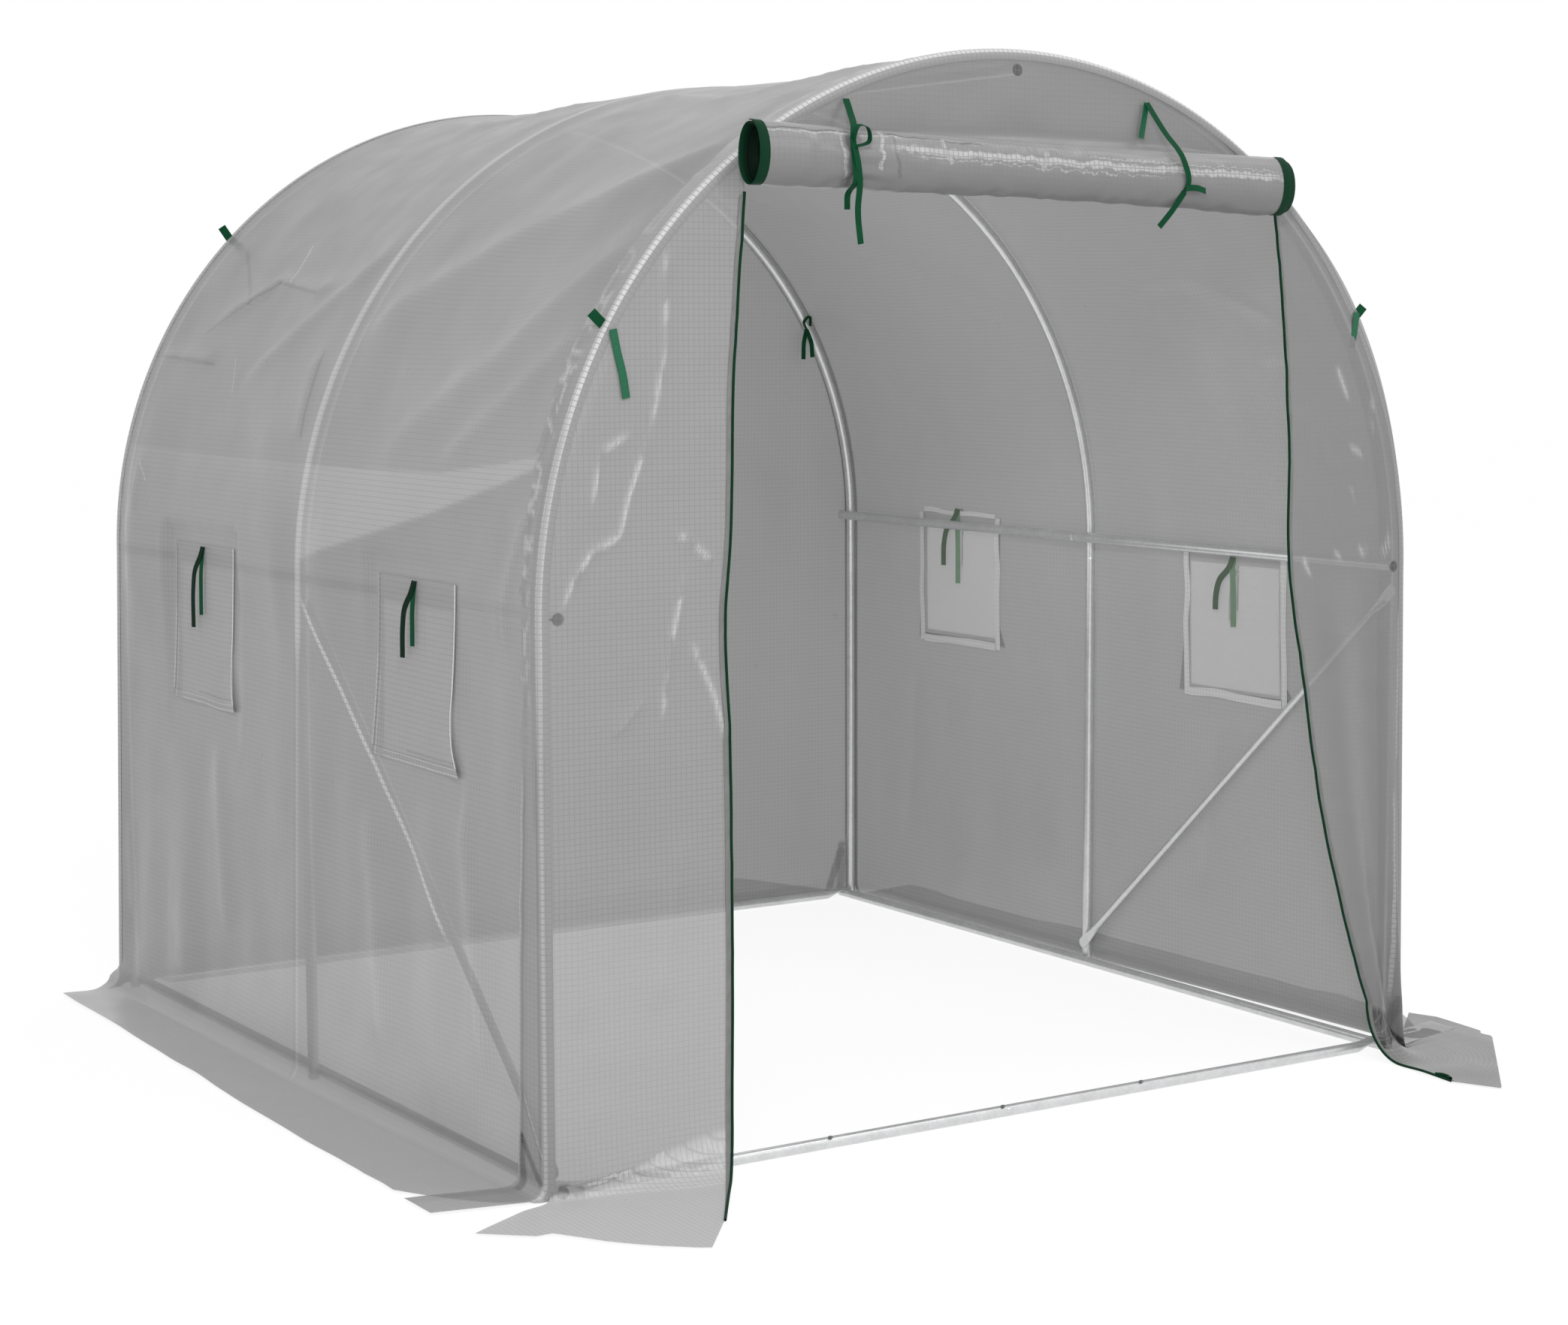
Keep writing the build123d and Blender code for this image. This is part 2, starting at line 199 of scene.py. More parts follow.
# Meshes
def lattice(name, points, weave, material, tone=None, keep=None):
    """A sheet of quads over a grid of points; weave holds each point's place on the flat film."""
    rows, columns = points.shape[:2]
    index = np.arange(rows * columns).reshape(rows, columns)
    quads = np.stack([index[:-1, :-1], index[:-1, 1:], index[1:, 1:], index[1:, :-1]], -1).reshape(-1, 4)
    if keep is not None:
        quads = quads[keep.reshape(-1)]
    return sheet_mesh(name, points.reshape(-1, 3), quads, weave.reshape(-1, 2), material, tone)


def sheet_mesh(name, points, quads, weave, material, tone=None):
    """A piece from points and faces, with its flat places as UV map and its tone as attribute."""
    used = np.unique(quads)
    renumber = np.zeros(len(points), int)
    renumber[used] = np.arange(len(used))
    quads = renumber[quads]
    mesh = bpy.data.meshes.new(name)
    mesh.from_pydata(points[used].tolist(), [], quads.tolist())
    layer = mesh.uv_layers.new(name="weave")
    layer.data.foreach_set("uv", weave[used][quads.reshape(-1)].astype(np.float32).ravel())
    shade = mesh.attributes.new("tone", "FLOAT", "POINT")
    values = np.zeros(len(used)) if tone is None else np.asarray(tone, float).reshape(-1)[used]
    shade.data.foreach_set("value", values.astype(np.float32))
    mesh.polygons.foreach_set("use_smooth", np.ones(len(quads), bool))
    piece = bpy.data.objects.new(name, mesh)
    bpy.context.scene.collection.objects.link(piece)
    mesh.materials.append(material)
    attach(piece, "root")
    return piece


def flat_place(points):
    """Lengths along the columns and the rows of a grid of points, as places on the flat film."""
    along = np.zeros(points.shape[:2])
    across = np.zeros(points.shape[:2])
    across[:, 1:] = np.cumsum(np.linalg.norm(np.diff(points, axis=1), axis=2), axis=1)
    along[1:] = np.cumsum(np.linalg.norm(np.diff(points, axis=0), axis=2), axis=0)
    return np.stack([across, along], -1)


def ring_quads(rings, sides):
    """Faces between rings of points that follow each other, each of so many sides."""
    a = np.arange(sides)
    b = (a + 1) % sides
    ring = np.stack([a, b, b + sides, a + sides], -1)
    return (ring[None] + sides * np.arange(rings - 1)[:, None, None]).reshape(-1, 4)


# Materials
class Shader:
    """A Principled material and short ways to add nodes to it."""

    def __init__(self, name, colour, roughness, metallic=0.0, alpha=1.0):
        self.material = bpy.data.materials.new(name)
        self.material.use_nodes = True
        self.tree = self.material.node_tree
        self.surface = self.tree.nodes["Principled BSDF"]
        self.set("Base Color", (*colour, 1))
        self.set("Roughness", roughness)
        self.set("Metallic", metallic)
        self.set("Alpha", alpha)

    def set(self, socket, value):
        self.surface.inputs[socket].default_value = value

    def node(self, kind, **settings):
        made = self.tree.nodes.new("ShaderNode" + kind)
        for key, value in settings.items():
            setattr(made, key, value)
        return made

    def link(self, source, target):
        self.tree.links.new(source, target)

    def feed(self, source, socket):
        self.link(source, self.surface.inputs[socket])

    def math(self, operation, a, b=None, c=None):
        made = self.node("Math", operation=operation)
        for socket, value in zip(made.inputs, (a, b, c)):
            if value is None:
                continue
            if isinstance(value, (int, float)):
                socket.default_value = value
            else:
                self.link(value, socket)
        return made.outputs[0]

    def ramp(self, source, stops):
        made = self.node("ValToRGB")
        elements = made.color_ramp.elements
        while len(elements) < len(stops):
            elements.new(0.5)
        for element, (position, colour) in zip(elements, stops):
            element.position = position
            element.color = (*colour, 1)
        self.link(source, made.inputs[0])
        return made.outputs[0]

    def mix(self, factor, a, b):
        made = self.node("Mix", data_type="RGBA")
        for socket, value in ((made.inputs[0], factor), (made.inputs[6], a), (made.inputs[7], b)):
            if isinstance(value, tuple):
                socket.default_value = (*value, 1)
            elif isinstance(value, (int, float)):
                socket.default_value = value
            else:
                self.link(value, socket)
        return made.outputs[2]

    def noise(self, coordinates, scale, detail=3.0, roughness=0.5):
        made = self.node("TexNoise")
        made.inputs["Scale"].default_value = scale
        made.inputs["Detail"].default_value = detail
        made.inputs["Roughness"].default_value = roughness
        self.link(coordinates, made.inputs["Vector"])
        return made.outputs["Fac"]

    def spread(self, source, low, high):
        """A value from 0 to 1 stretched over a range."""
        return self.math("MULTIPLY_ADD", source, high - low, low)

    def fade(self, source, zero_at, one_at):
        """A smooth step from 0 to 1 between two values of the source."""
        made = self.node("MapRange", interpolation_type="SMOOTHSTEP")
        made.inputs["From Min"].default_value = zero_at
        made.inputs["From Max"].default_value = one_at
        self.link(source, made.inputs["Value"])
        return made.outputs[0]

    def weave(self):
        """Places on the flat film, and their two coordinates."""
        flat = self.node("UVMap", uv_map="weave").outputs[0]
        split = self.node("SeparateXYZ")
        self.link(flat, split.inputs[0])
        return flat, split.outputs[0], split.outputs[1]

    def bump(self, height, distance, strength=1.0):
        made = self.node("Bump")
        made.inputs["Distance"].default_value = distance
        made.inputs["Strength"].default_value = strength
        self.link(height, made.inputs["Height"])
        self.feed(made.outputs[0], "Normal")


def threads(shader, coordinate, pitch, width_share):
    """1 on a thread and 0 between, for one direction of the weave."""
    place_in_cell = shader.math("FRACT", shader.math("MULTIPLY", coordinate, 1 / pitch))
    away = shader.math("ABSOLUTE", shader.math("SUBTRACT", place_in_cell, 0.5))
    return shader.fade(away, width_share, 0.0)


def bearing_line(shader, flat, wander, start, end, half_width, ragged=0.0):
    """1 along a straight line on the flat film, and 0 beside it.

    A ragged line strays to either side by up to that much, as the wander noise says."""
    start, end = np.array(start, float), np.array(end, float)
    along = (end - start) / np.linalg.norm(end - start)
    across = np.array((-along[1], along[0]))
    places = []
    for direction in (along, across):
        dot = shader.node("VectorMath", operation="DOT_PRODUCT")
        shader.link(flat, dot.inputs[0])
        dot.inputs[1].default_value = (*direction, 0)
        places.append(shader.math("SUBTRACT", dot.outputs["Value"], float(start @ direction)))
    if ragged:
        places[1] = shader.math("MULTIPLY_ADD", wander, 2 * ragged, places[1])
    beside = shader.fade(shader.math("ABSOLUTE", places[1]), half_width * 1.5, half_width * 0.5)
    length = float(np.linalg.norm(end - start))
    away = shader.math("ABSOLUTE", shader.math("SUBTRACT", places[0], length / 2))
    return shader.math("MULTIPLY", beside, shader.fade(away, length / 2, length * 0.42))


def disc_mask(shader, flat, centre, size):
    """1 inside a disc on the flat film and 0 outside."""
    away = shader.node("VectorMath", operation="DISTANCE")
    shader.link(flat, away.inputs[0])
    away.inputs[1].default_value = (*centre, 0)
    return shader.fade(away.outputs["Value"], size * 1.15, size * 0.9)


def film_material(name, colour, alpha, bearings=(), discs=()):
    """Reinforced film, paler where its tone is above 0 and darker where it is below: painted light and shade.

    Bearings are lines of painted highlight where it lies on a tube or is creased: start, end, half width,
    strength (below 0 for a painted shadow) and, for some, how ragged it is. Discs are painted shade of dark
    tube ends behind it: centre, radius."""
    shader = Shader(name, colour, 0.3, alpha=alpha)
    shader.set("Specular IOR Level", 0.4)
    flat, u, v = shader.weave()
    grid = shader.math("MAXIMUM", *(threads(shader, c, weave_pitch, thread_share) for c in (u, v)))
    tone = shader.node("Attribute", attribute_name="tone").outputs["Fac"]
    wander = shader.math("SUBTRACT", shader.noise(flat, 45.0, 4.0, 0.6), 0.5)
    for start, end, half_width, strength, *ragged in bearings:
        line = bearing_line(shader, flat, wander, start, end, half_width, *ragged)
        if strength < 0:
            tone = shader.math("MULTIPLY_ADD", line, strength, tone)
            continue
        open_film = shader.math("MULTIPLY_ADD", grid, -0.5, 1.0)
        line = shader.math("MULTIPLY", line, open_film)
        tone = shader.math("MULTIPLY_ADD", line, shader.math("SUBTRACT", strength, tone), tone)
    for centre, size in discs:
        tone = shader.math("MULTIPLY_ADD", disc_mask(shader, flat, centre, size), -0.5, tone)
    cloud = shader.noise(flat, 5.0, 4.0)
    ground = shader.mix(shader.spread(cloud, 0.0, 0.5), colour, tuple(0.86 * c for c in colour))
    lit = shader.mix(shader.math("MAXIMUM", tone, 0.0), ground, pale_film)
    dark = shader.math("MAXIMUM", shader.math("MULTIPLY", tone, -1.0), 0.0)
    dimmed = shader.mix(dark, lit, dark_film)
    thread_colour = tuple(0.66 * c for c in colour)
    shader.feed(shader.mix(shader.math("MULTIPLY", grid, thread_show), dimmed, thread_colour), "Base Color")
    shader.feed(shader.spread(shader.noise(flat, 9.0, 3.0), 0.2, 0.46), "Roughness")
    ripple = shader.noise(flat, 26.0, 2.0, 0.4)
    height = shader.math("MULTIPLY_ADD", grid, 0.1, ripple)
    shader.bump(height, 0.0018, 0.5)
    return shader.material


def steel_material():
    """Galvanised steel with its spangle."""
    shader = Shader("galvanised_steel", (0.66, 0.67, 0.68), 0.36, metallic=0.6)
    place_on = shader.node("TexCoord").outputs["Object"]
    spangle = shader.node("TexVoronoi")
    spangle.inputs["Scale"].default_value = 160.0
    shader.link(place_on, spangle.inputs["Vector"])
    grey = shader.node("SeparateColor")
    shader.link(spangle.outputs["Color"], grey.inputs[0])
    clouds = shader.noise(place_on, 14.0, 4.0)
    tint = shader.math("MULTIPLY_ADD", grey.outputs[0], 0.22, shader.math("MULTIPLY", clouds, 0.78))
    shader.feed(shader.ramp(tint, [(0.3, (0.68, 0.685, 0.69)), (0.7, (0.8, 0.805, 0.81))]), "Base Color")
    shader.feed(shader.spread(tint, 0.24, 0.38), "Roughness")
    shader.bump(tint, 0.0002, 0.1)
    return shader.material


def tape_material(name, dark, light):
    """Ribbed woven tape."""
    shader = Shader(name, dark, 0.55)
    shader.set("Specular IOR Level", 0.12)
    flat, u, v = shader.weave()
    woven = shader.math("MULTIPLY", threads(shader, u, 0.0016, 0.4), threads(shader, v, 0.0022, 0.4))
    cloud = shader.noise(flat, 40.0, 3.0)
    share = shader.math("MULTIPLY_ADD", woven, 0.5, shader.math("MULTIPLY", cloud, 0.4))
    shader.feed(shader.mix(share, dark, light), "Base Color")
    shader.feed(shader.spread(cloud, 0.42, 0.68), "Roughness")
    shader.bump(woven, 0.0005, 0.7)
    return shader.material


def net_material():
    """Fine insect net, partly seen through."""
    shader = Shader("window_net", (0.9, 0.9, 0.9), 0.6, alpha=0.55)
    _, u, v = shader.weave()
    grid = shader.math("MAXIMUM", *(threads(shader, c, 0.0024, 0.3) for c in (u, v)))
    shader.feed(shader.mix(grid, (0.82, 0.82, 0.82), (0.95, 0.95, 0.95)), "Base Color")
    shader.bump(grid, 0.0006, 0.8)
    return shader.material


def bolt_material(name, dark, light):
    """Dull, slightly rough bolt heads."""
    shader = Shader(name, dark, 0.45)
    place_on = shader.node("TexCoord").outputs["Object"]
    cloud = shader.noise(place_on, 60.0, 4.0)
    shader.feed(shader.mix(cloud, dark, light), "Base Color")
    shader.feed(shader.spread(cloud, 0.35, 0.55), "Roughness")
    shader.bump(shader.noise(place_on, 900.0, 2.0), 0.0002, 0.4)
    return shader.material


# Near-white film for the painted highlight along a flap's front hem
hem_highlight_film = film_material("hem_highlight_film", pale_film, 1.0)
steel = steel_material()
green = tape_material("green_tape", (0.001, 0.045, 0.016), (0.006, 0.15, 0.058))
piping = tape_material("zip_piping", (0.0008, 0.028, 0.011), (0.004, 0.075, 0.032))
# The darkest green is the tape in painted shade, for the roll's hollow
hollow_shade_green = tape_material("dark_green_tape", (0.0002, 0.006, 0.003), (0.001, 0.02, 0.009))
# The shaded greens are the tape in painted shade, for the ties' dark tails outside and inside
shaded_green = tape_material("shaded_green_tape", (0.0006, 0.012, 0.005), (0.002, 0.04, 0.017))
shaded_netted_green = tape_material("green_tape_by_net", (0.12, 0.165, 0.12), (0.22, 0.3, 0.22))
pale_green = tape_material("pale_green_tape_by_net", (0.22, 0.34, 0.23), (0.36, 0.52, 0.38))
net = net_material()
hem_net = film_material("net_hem", (0.95, 0.95, 0.95), 0.95)
bolt_steel = bolt_material("bolt_steel", (0.12, 0.12, 0.125), (0.3, 0.3, 0.31))
pressed_green = film_material("green_tape_behind_film", (0.008, 0.15, 0.066), 1.0)
zip_grey = tape_material("zip_tape", (0.2, 0.2, 0.2), (0.55, 0.55, 0.55))


# Section of the cover across the tunnel: skirt, wall, arch, wall and skirt, on one line
side_skirt = cad_high.x - wall_x
left_lean = 0.024  # how far out of plumb the film hangs, at the rear of the left wall
right_lean = 0.019  # the same at the front of the right wall


def cover_section():
    """Points of the section and its length at each point."""
    turn = np.linspace(0, np.pi / 2, 10)
    foot = [(-wall_x - corner + corner * np.sin(a), corner - corner * np.cos(a)) for a in turn]
    wall = [(-wall_x, z) for z in np.linspace(corner, spring, 40)[1:-1]]
    arch = [(-radius * np.cos(a), spring + radius * np.sin(a)) for a in np.linspace(0, np.pi / 2, 120)]
    left = np.array([(-wall_x - side_skirt, 0), *foot, *wall, *arch])
    line = np.concatenate([left, left[::-1][1:] * (-1, 1)])
    line[:, 1] += ground_gap
    return line, np.concatenate([[0], np.cumsum(np.hypot(*np.diff(line, axis=0).T))])


section, section_length = cover_section()
girth = section_length[-1]
ground_mark = side_skirt  # length at which the left wall's line would meet the ground
over_length = girth - 2 * ground_mark  # from the ground over the arch to the ground
foot_rise = ground_gap + (2 - np.pi / 2) * corner  # height less the length from there up the wall
section_slope = np.gradient(section, section_length, axis=0)
section_normal = np.stack([-section_slope[:, 1], section_slope[:, 0]], -1)
section_normal /= np.linalg.norm(section_normal, axis=1)[:, None]


def lean(x, y, z):
    """How far the film hangs out of plumb at a place in the frame."""
    rearward = smooth((y - hoop_ys[0]) / bay)
    return np.where(x < 0, left_lean * rearward, right_lean * (1 - rearward)) * np.clip(1 - z / spring, 0, 1)


def above_ground(h):
    """Length up from the nearer ground line, below 0 on the skirts."""
    return np.minimum(h, over_length - h)


def on_section(p):
    """Places on the section and the directions out of it, at lengths along it."""
    x, z = (np.interp(p, section_length, section[:, k]) for k in (0, 1))
    nx, nz = (np.interp(p, section_length, section_normal[:, k]) for k in (0, 1))
    return x, z, nx, nz


def sheet_lines(low, high, step, marks, fine):
    """Grid lines from low to high, with closer ones beside the marks."""
    lines = set(np.round(np.linspace(low, high, int((high - low) / step) + 1), 5))
    for mark in marks:
        lines |= {round(mark + k * fine, 5) for k in range(-6, 7) if low <= mark + k * fine <= high}
    lines = np.array(sorted(lines))
    return lines[np.concatenate([[True], np.diff(lines) > fine / 3])]


# Creases of the cover: places (y, length up the left wall and over the arch), width and height
wall_creases = [
    ([(0.79, 1.52), (0.63, 1.595), (0.55, 1.645), (0.31, 1.61), (0.18, 1.63)], 0.02, 0.008),
    ([(0.5, 1.38), (0.3, 1.5), (0.1, 1.64), (-0.05, 1.8)], 0.035, 0.009),
    ([(0.97, 1.45), (0.68, 1.44)], 0.014, 0.008),
    ([(0.12, 1.46), (0.09, 1.27)], 0.02, 0.006),
    ([(-0.02, 1.48), (-0.45, 1.72), (-0.97, 1.98)], 0.07, 0.012),
    ([(-0.3, 1.26), (-0.66, 1.46), (-0.97, 1.72)], 0.06, 0.01),
    ([(-0.55, 1.25), (-0.97, 1.52)], 0.035, 0.006),
    ([(0.9, 2.3), (0.5, 2.26), (0.1, 2.34)], 0.03, 0.006),
    ([(-0.1, 2.3), (-0.5, 2.22), (-0.95, 2.36)], 0.035, 0.007),
    ([(-0.93, 1.18), (-0.86, 1.0), (-0.87, 0.93)], 0.018, 0.005),
    ([(0.9, 1.2), (0.88, 1.08)], 0.012, 0.004),
    ([(0.95, 0.4), (0.93, 0.16)], 0.012, 0.005),
    ([(0.45, 0.62), (0.38, 0.2)], 0.04, 0.006),
    ([(-0.3, 0.6), (-0.38, 0.1)], 0.05, 0.007),
    ([(-0.7, 0.66), (-0.78, 0.15)], 0.03, 0.007),
]

# Sharp creases of the cover, drawn in its colour as painted shade along their shadowed sides and painted
# highlights on some crests: bearings with places as above
wall_crease_painting = [
    ((0.8, 1.5), (0.62, 1.588), 0.004, -0.14, 0.004),
    ((0.65, 1.575), (0.53, 1.64), 0.004, -0.22, 0.003),
    ((0.57, 1.638), (0.29, 1.598), 0.004, -0.24, 0.004),
    ((0.98, 1.441), (0.66, 1.428), 0.0042, -0.2, 0.004),
    ((0.1, 1.47), (0.07, 1.26), 0.005, -0.18, 0.004),
    ((0.48, 1.625), (0.54, 1.75), 0.003, 0.4, 0.006),
    ((0.58, 1.45), (0.52, 1.36), 0.002, 0.3, 0.004),
    ((0.87, 1.735), (0.65, 1.59), 0.006, -0.2, 0.004),
    ((0.34, 1.57), (0.53, 1.38), 0.03, -0.07),
    ((0.9, 1.2), (0.84, 1.15), 0.002, 0.4, 0.003),
]

# A pleat of the left wall between two lines, as heights at the hoops and between them
pleat_y = (-1.0, -0.55, 0.0, 0.55, 1.0)
pleat_top = (1.283, 1.232, 1.224, 1.228, 1.234)
pleat_foot = (1.266, 1.15, 1.03, 1.0, 1.0)
pleat_depth = 0.018

sag_depth = 0.017  # of the film between two hoops
fold_gain = 1.4  # how much stronger the creases are made
far_fold_gain = 0.8  # the same for those repeated on the far side
window_calm = 0.85  # how much flatter the film is round a window
calm_half, calm_half_tall, calm_height = 0.215, 0.25, 0.84  # half sizes and middle of that place
calm_edge = 0.04

# Painted light and shade of the left wall: painted light on its pleat, painted shade under it, painted light
# beside it in the rear bay, and painted highlights on crease crests
pleat_painted_light, under_pleat_painted_shade, rear_bay_painted_light, crest_painted_highlight = 0.26, -0.07, 0.1, 0.12
fold_edge = 0.006  # how soon a tone changes at the pleat's edges

# Painted highlights along the hoops, at the left and the right: down the legs, and what the arch adds to them
leg_highlights, arch_highlights = (0.22, 0.14), (0.38, 0.4)
leg_halves, arch_halves = (0.0055, 0.0045), (0.007, 0.0015)

# Shadows of tubes behind the left wall
purlin_shadow, leg_shadow, rail_shadow = -0.1, -0.12, -0.2

# The side skirts: their ripples, how far the front corners are cut back and the rear left one is drawn out
skirt_ripple, skirt_cut, skirt_draw = 0.007, 0.19, 0.019


def cover_lift(y, h):
    """How far the film stands out from the hoops' line at a place on the flat cover."""
    up = above_ground(h)
    across = (y - hoop_ys[0]) / bay % 1
    sag = -sag_depth * 4 * across * (1 - across) * smooth(np.clip(up / spring, 0, 1) * 1.2 - 0.1)
    free = smooth(across / 0.12) * smooth((1 - across) / 0.12)
    waves = 0.005 * soft_noise(y, h, (0.22, 0.3), 3) + 0.0022 * soft_noise(y, h, (0.08, 0.14), 5)
    hang = 0.009 * soft_noise(y, h, (0.12, 1.6), 7) * smooth((0.8 - up) / 0.6)
    folds = sum(crease(y, h, *fold) for fold in wall_creases)
    folds = folds + far_fold_gain * sum(crease(-y, over_length - h, *fold) for fold in wall_creases[::2])
    top = np.interp(y, pleat_y, pleat_top)
    foot = np.interp(y, pleat_y, pleat_foot)
    ramp = np.clip((top - h) / (top - foot), 0, 1)
    pleat = pleat_depth * ramp * (top - foot) / 0.17 * np.exp(-np.clip(foot - h, 0, None) / 0.16)
    still = smooth(up / 0.16)
    near_window = smooth((calm_half - np.abs(np.abs(y) - window_y)) / calm_edge)
    near_window = near_window * smooth((calm_half_tall - np.abs(up - calm_height)) / calm_edge)
    loose = waves + hang + fold_gain * folds + np.minimum(pleat, pleat_depth)
    return sag + free * still * (1 - window_calm * near_window) * loose


def cover_painted_light(y, h):
    """The cover's painted light and shade: the left wall's pleat as a pale facet between two lines with
    painted shade under it, painted highlights on crests, and the tubes.
    """
    top = np.interp(y, pleat_y, pleat_top)
    foot = np.interp(y, pleat_y, pleat_foot)
    front_bay = smooth((hoop_ys[1] + 0.02 - y) / 0.05)
    below_top = smooth((top - h) / fold_edge)
    facet = pleat_painted_light * below_top * smooth((h - foot) / fold_edge) * front_bay
    under = under_pleat_painted_shade * smooth((foot - h) / fold_edge)
    under = under * np.exp(-np.clip(foot - h, 0, None) / 0.09) * front_bay
    rear = rear_bay_painted_light * below_top * np.exp(-np.clip(top - h, 0, None) / 0.07) * (1 - front_bay)
    # Painted shade just above the pleat in the rear bay, and painted light there in the front bay
    above = (0.06 * front_bay - 0.03) * (1 - below_top) * np.exp(-np.clip(h - top, 0, None) / 0.06)
    crests = sum(crease(y, h, points, 0.4 * width, crest_painted_highlight) for points, width, _ in wall_creases)
    # Painted shade up the arch, and painted light on the left skirt
    along = np.interp(y, (-0.95, -0.85, -0.62, -0.3, 0.0), (2.4, 2.2, 0.25, 0.7, 1.0))
    high = -0.17 * smooth((h - 1.2) / 0.9) * along * smooth((2.6 - h) / 0.5)
    low = 0.05 * smooth((-0.02 - h) / 0.02)
    wall = (facet + under + rear + above) * smooth((1.3 * spring - h) / 0.02)
    return wall + crests + high + low + tube_painted_light(y, h)


def tube_painted_light(y, h):
    """Painted highlights where the film lies on a hoop, and painted shadows of the tubes behind the left
    wall.
    """
    up = above_ground(h)
    on_arch = smooth((up - spring + 0.22) / 0.12)
    left = h < over_length - h
    strength = np.where(left, *leg_highlights) + np.where(left, *arch_highlights) * on_arch
    half = np.where(left, *leg_halves) + np.where(left, *arch_halves) * on_arch
    away = np.min([np.abs(y - hoop_y) for hoop_y in hoop_ys], axis=0)
    pale = strength * smooth(1.5 - away / half) * smooth(up / 0.02 + 1)
    purlin = purlin_shadow * smooth(1.5 - np.abs(h - purlin_z + foot_rise) / 0.01)
    purlin = purlin * smooth((y + 0.45) / 0.1)
    leg = leg_shadow * smooth(1.5 - np.abs(y - hoop_ys[1] - 0.016) / 0.004)
    leg = leg * smooth((1.1 - h) / 0.1) * smooth(h / 0.02 + 1)
    rail = rail_shadow * smooth((0.036 - h) / 0.016) * smooth((h + 0.036) / 0.02)
    return pale + np.where(left, purlin + leg + rail, 0.0)


def skirt_share(y, side):
    """Width of the film on the ground beside a wall, as a share of the widest."""
    if side < 0:
        return np.interp(y, (-1, -0.8, 0, 0.62, 1.0), (0.97, 0.965, 0.79, 0.72, 0.68))
    return np.interp(y, (-1, -0.85, 0, 1.0), (1.0, 1.1, 1.0, 0.9))


def cover_points(y, p):
    """Places of the cover's film in the frame; y runs along the tunnel and p along the section."""
    x, z, nx, nz = on_section(p)
    h = p - ground_mark
    lift = cover_lift(y, h)
    on_ground = -above_ground(h)
    flat = smooth(on_ground / corner / 2)
    lift = np.where(on_ground > 0, lift * (1 - flat), lift)
    side = np.sign(x)
    hung = lean(x, y, z)
    share = np.where(side < 0, skirt_share(y, -1), skirt_share(y, 1))
    x = np.where(on_ground > 0, side * (wall_x + (np.abs(x) - wall_x) * share), x) + nx * lift
    ripple = 0.5 + 0.5 * soft_noise(y, x, (0.16, 0.3), 21)
    z = z + nz * lift + flat * (skirt_ripple * ripple * smooth(on_ground / side_skirt) + 0.0005)
    out = np.clip(on_ground / side_skirt, 0, 1)
    cut = np.where(y < 0, skirt_cut * smooth(-y * 1.6 - 0.6), 0.0)
    wander = np.where(side < 0, 0.003, 0.012) * soft_noise(y, 0 * y, (0.13, 1), 23) * out
    drawn = skirt_draw * np.where(side < 0, smooth((y - 0.8) / 0.2), 0.0)
    drawn = drawn * np.exp(-((h / np.where(h > 0, 0.026, 0.06)) ** 2))
    x = x + side * (wander + hung + drawn)
    return np.stack([x, y * (1 - cut * out**2), np.maximum(z + drawn, ground_gap)], -1)


def cover_film_material():
    """The cover's film, with a painted highlight along the brace that it lies on and painted light and shade
    along its sharp creases.
    """
    brace_low, brace_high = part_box("left_brace")
    top = (brace_high.y - tube, ground_mark + brace_high.z)
    foot = (brace_low.y + tube, ground_mark + brace_low.z + 2 * tube)
    bearings = [(top, tuple(a + 0.66 * (b - a) for a, b in zip(top, foot)), 0.0055, 0.75)]
    for (y_start, h_start), (y_end, h_end), *rest in wall_crease_painting:
        bearings.append(((y_start, ground_mark + h_start), (y_end, ground_mark + h_end), *rest))
    return film_material("laid_film", film_colour, film_alpha, bearings)


def cover_grid():
    """Lines along and across the flat cover, closer at the hoops, the pleat and the left purlin."""
    y_lines = sheet_lines(hoop_ys[0], hoop_ys[2], film_step, hoop_ys, 0.004)
    p_lines = np.linspace(0, girth, int(girth / film_step) + 1)
    pleat_lines = ground_mark + np.arange(min(pleat_foot) - 0.01, max(pleat_top) + 0.012, 0.0055)
    p_lines = p_lines[(p_lines < pleat_lines[0] - 0.004) | (p_lines > pleat_lines[-1] + 0.004)]
    purlin_lines = ground_mark + purlin_z - foot_rise + np.arange(-0.02, 0.0201, 0.005)
    p_lines = p_lines[(p_lines < purlin_lines[0] - 0.002) | (p_lines > purlin_lines[-1] + 0.002)]
    purlin_lines = purlin_lines[purlin_lines < pleat_lines[0] - 0.002]
    return y_lines, np.sort(np.concatenate([p_lines, pleat_lines, purlin_lines]))


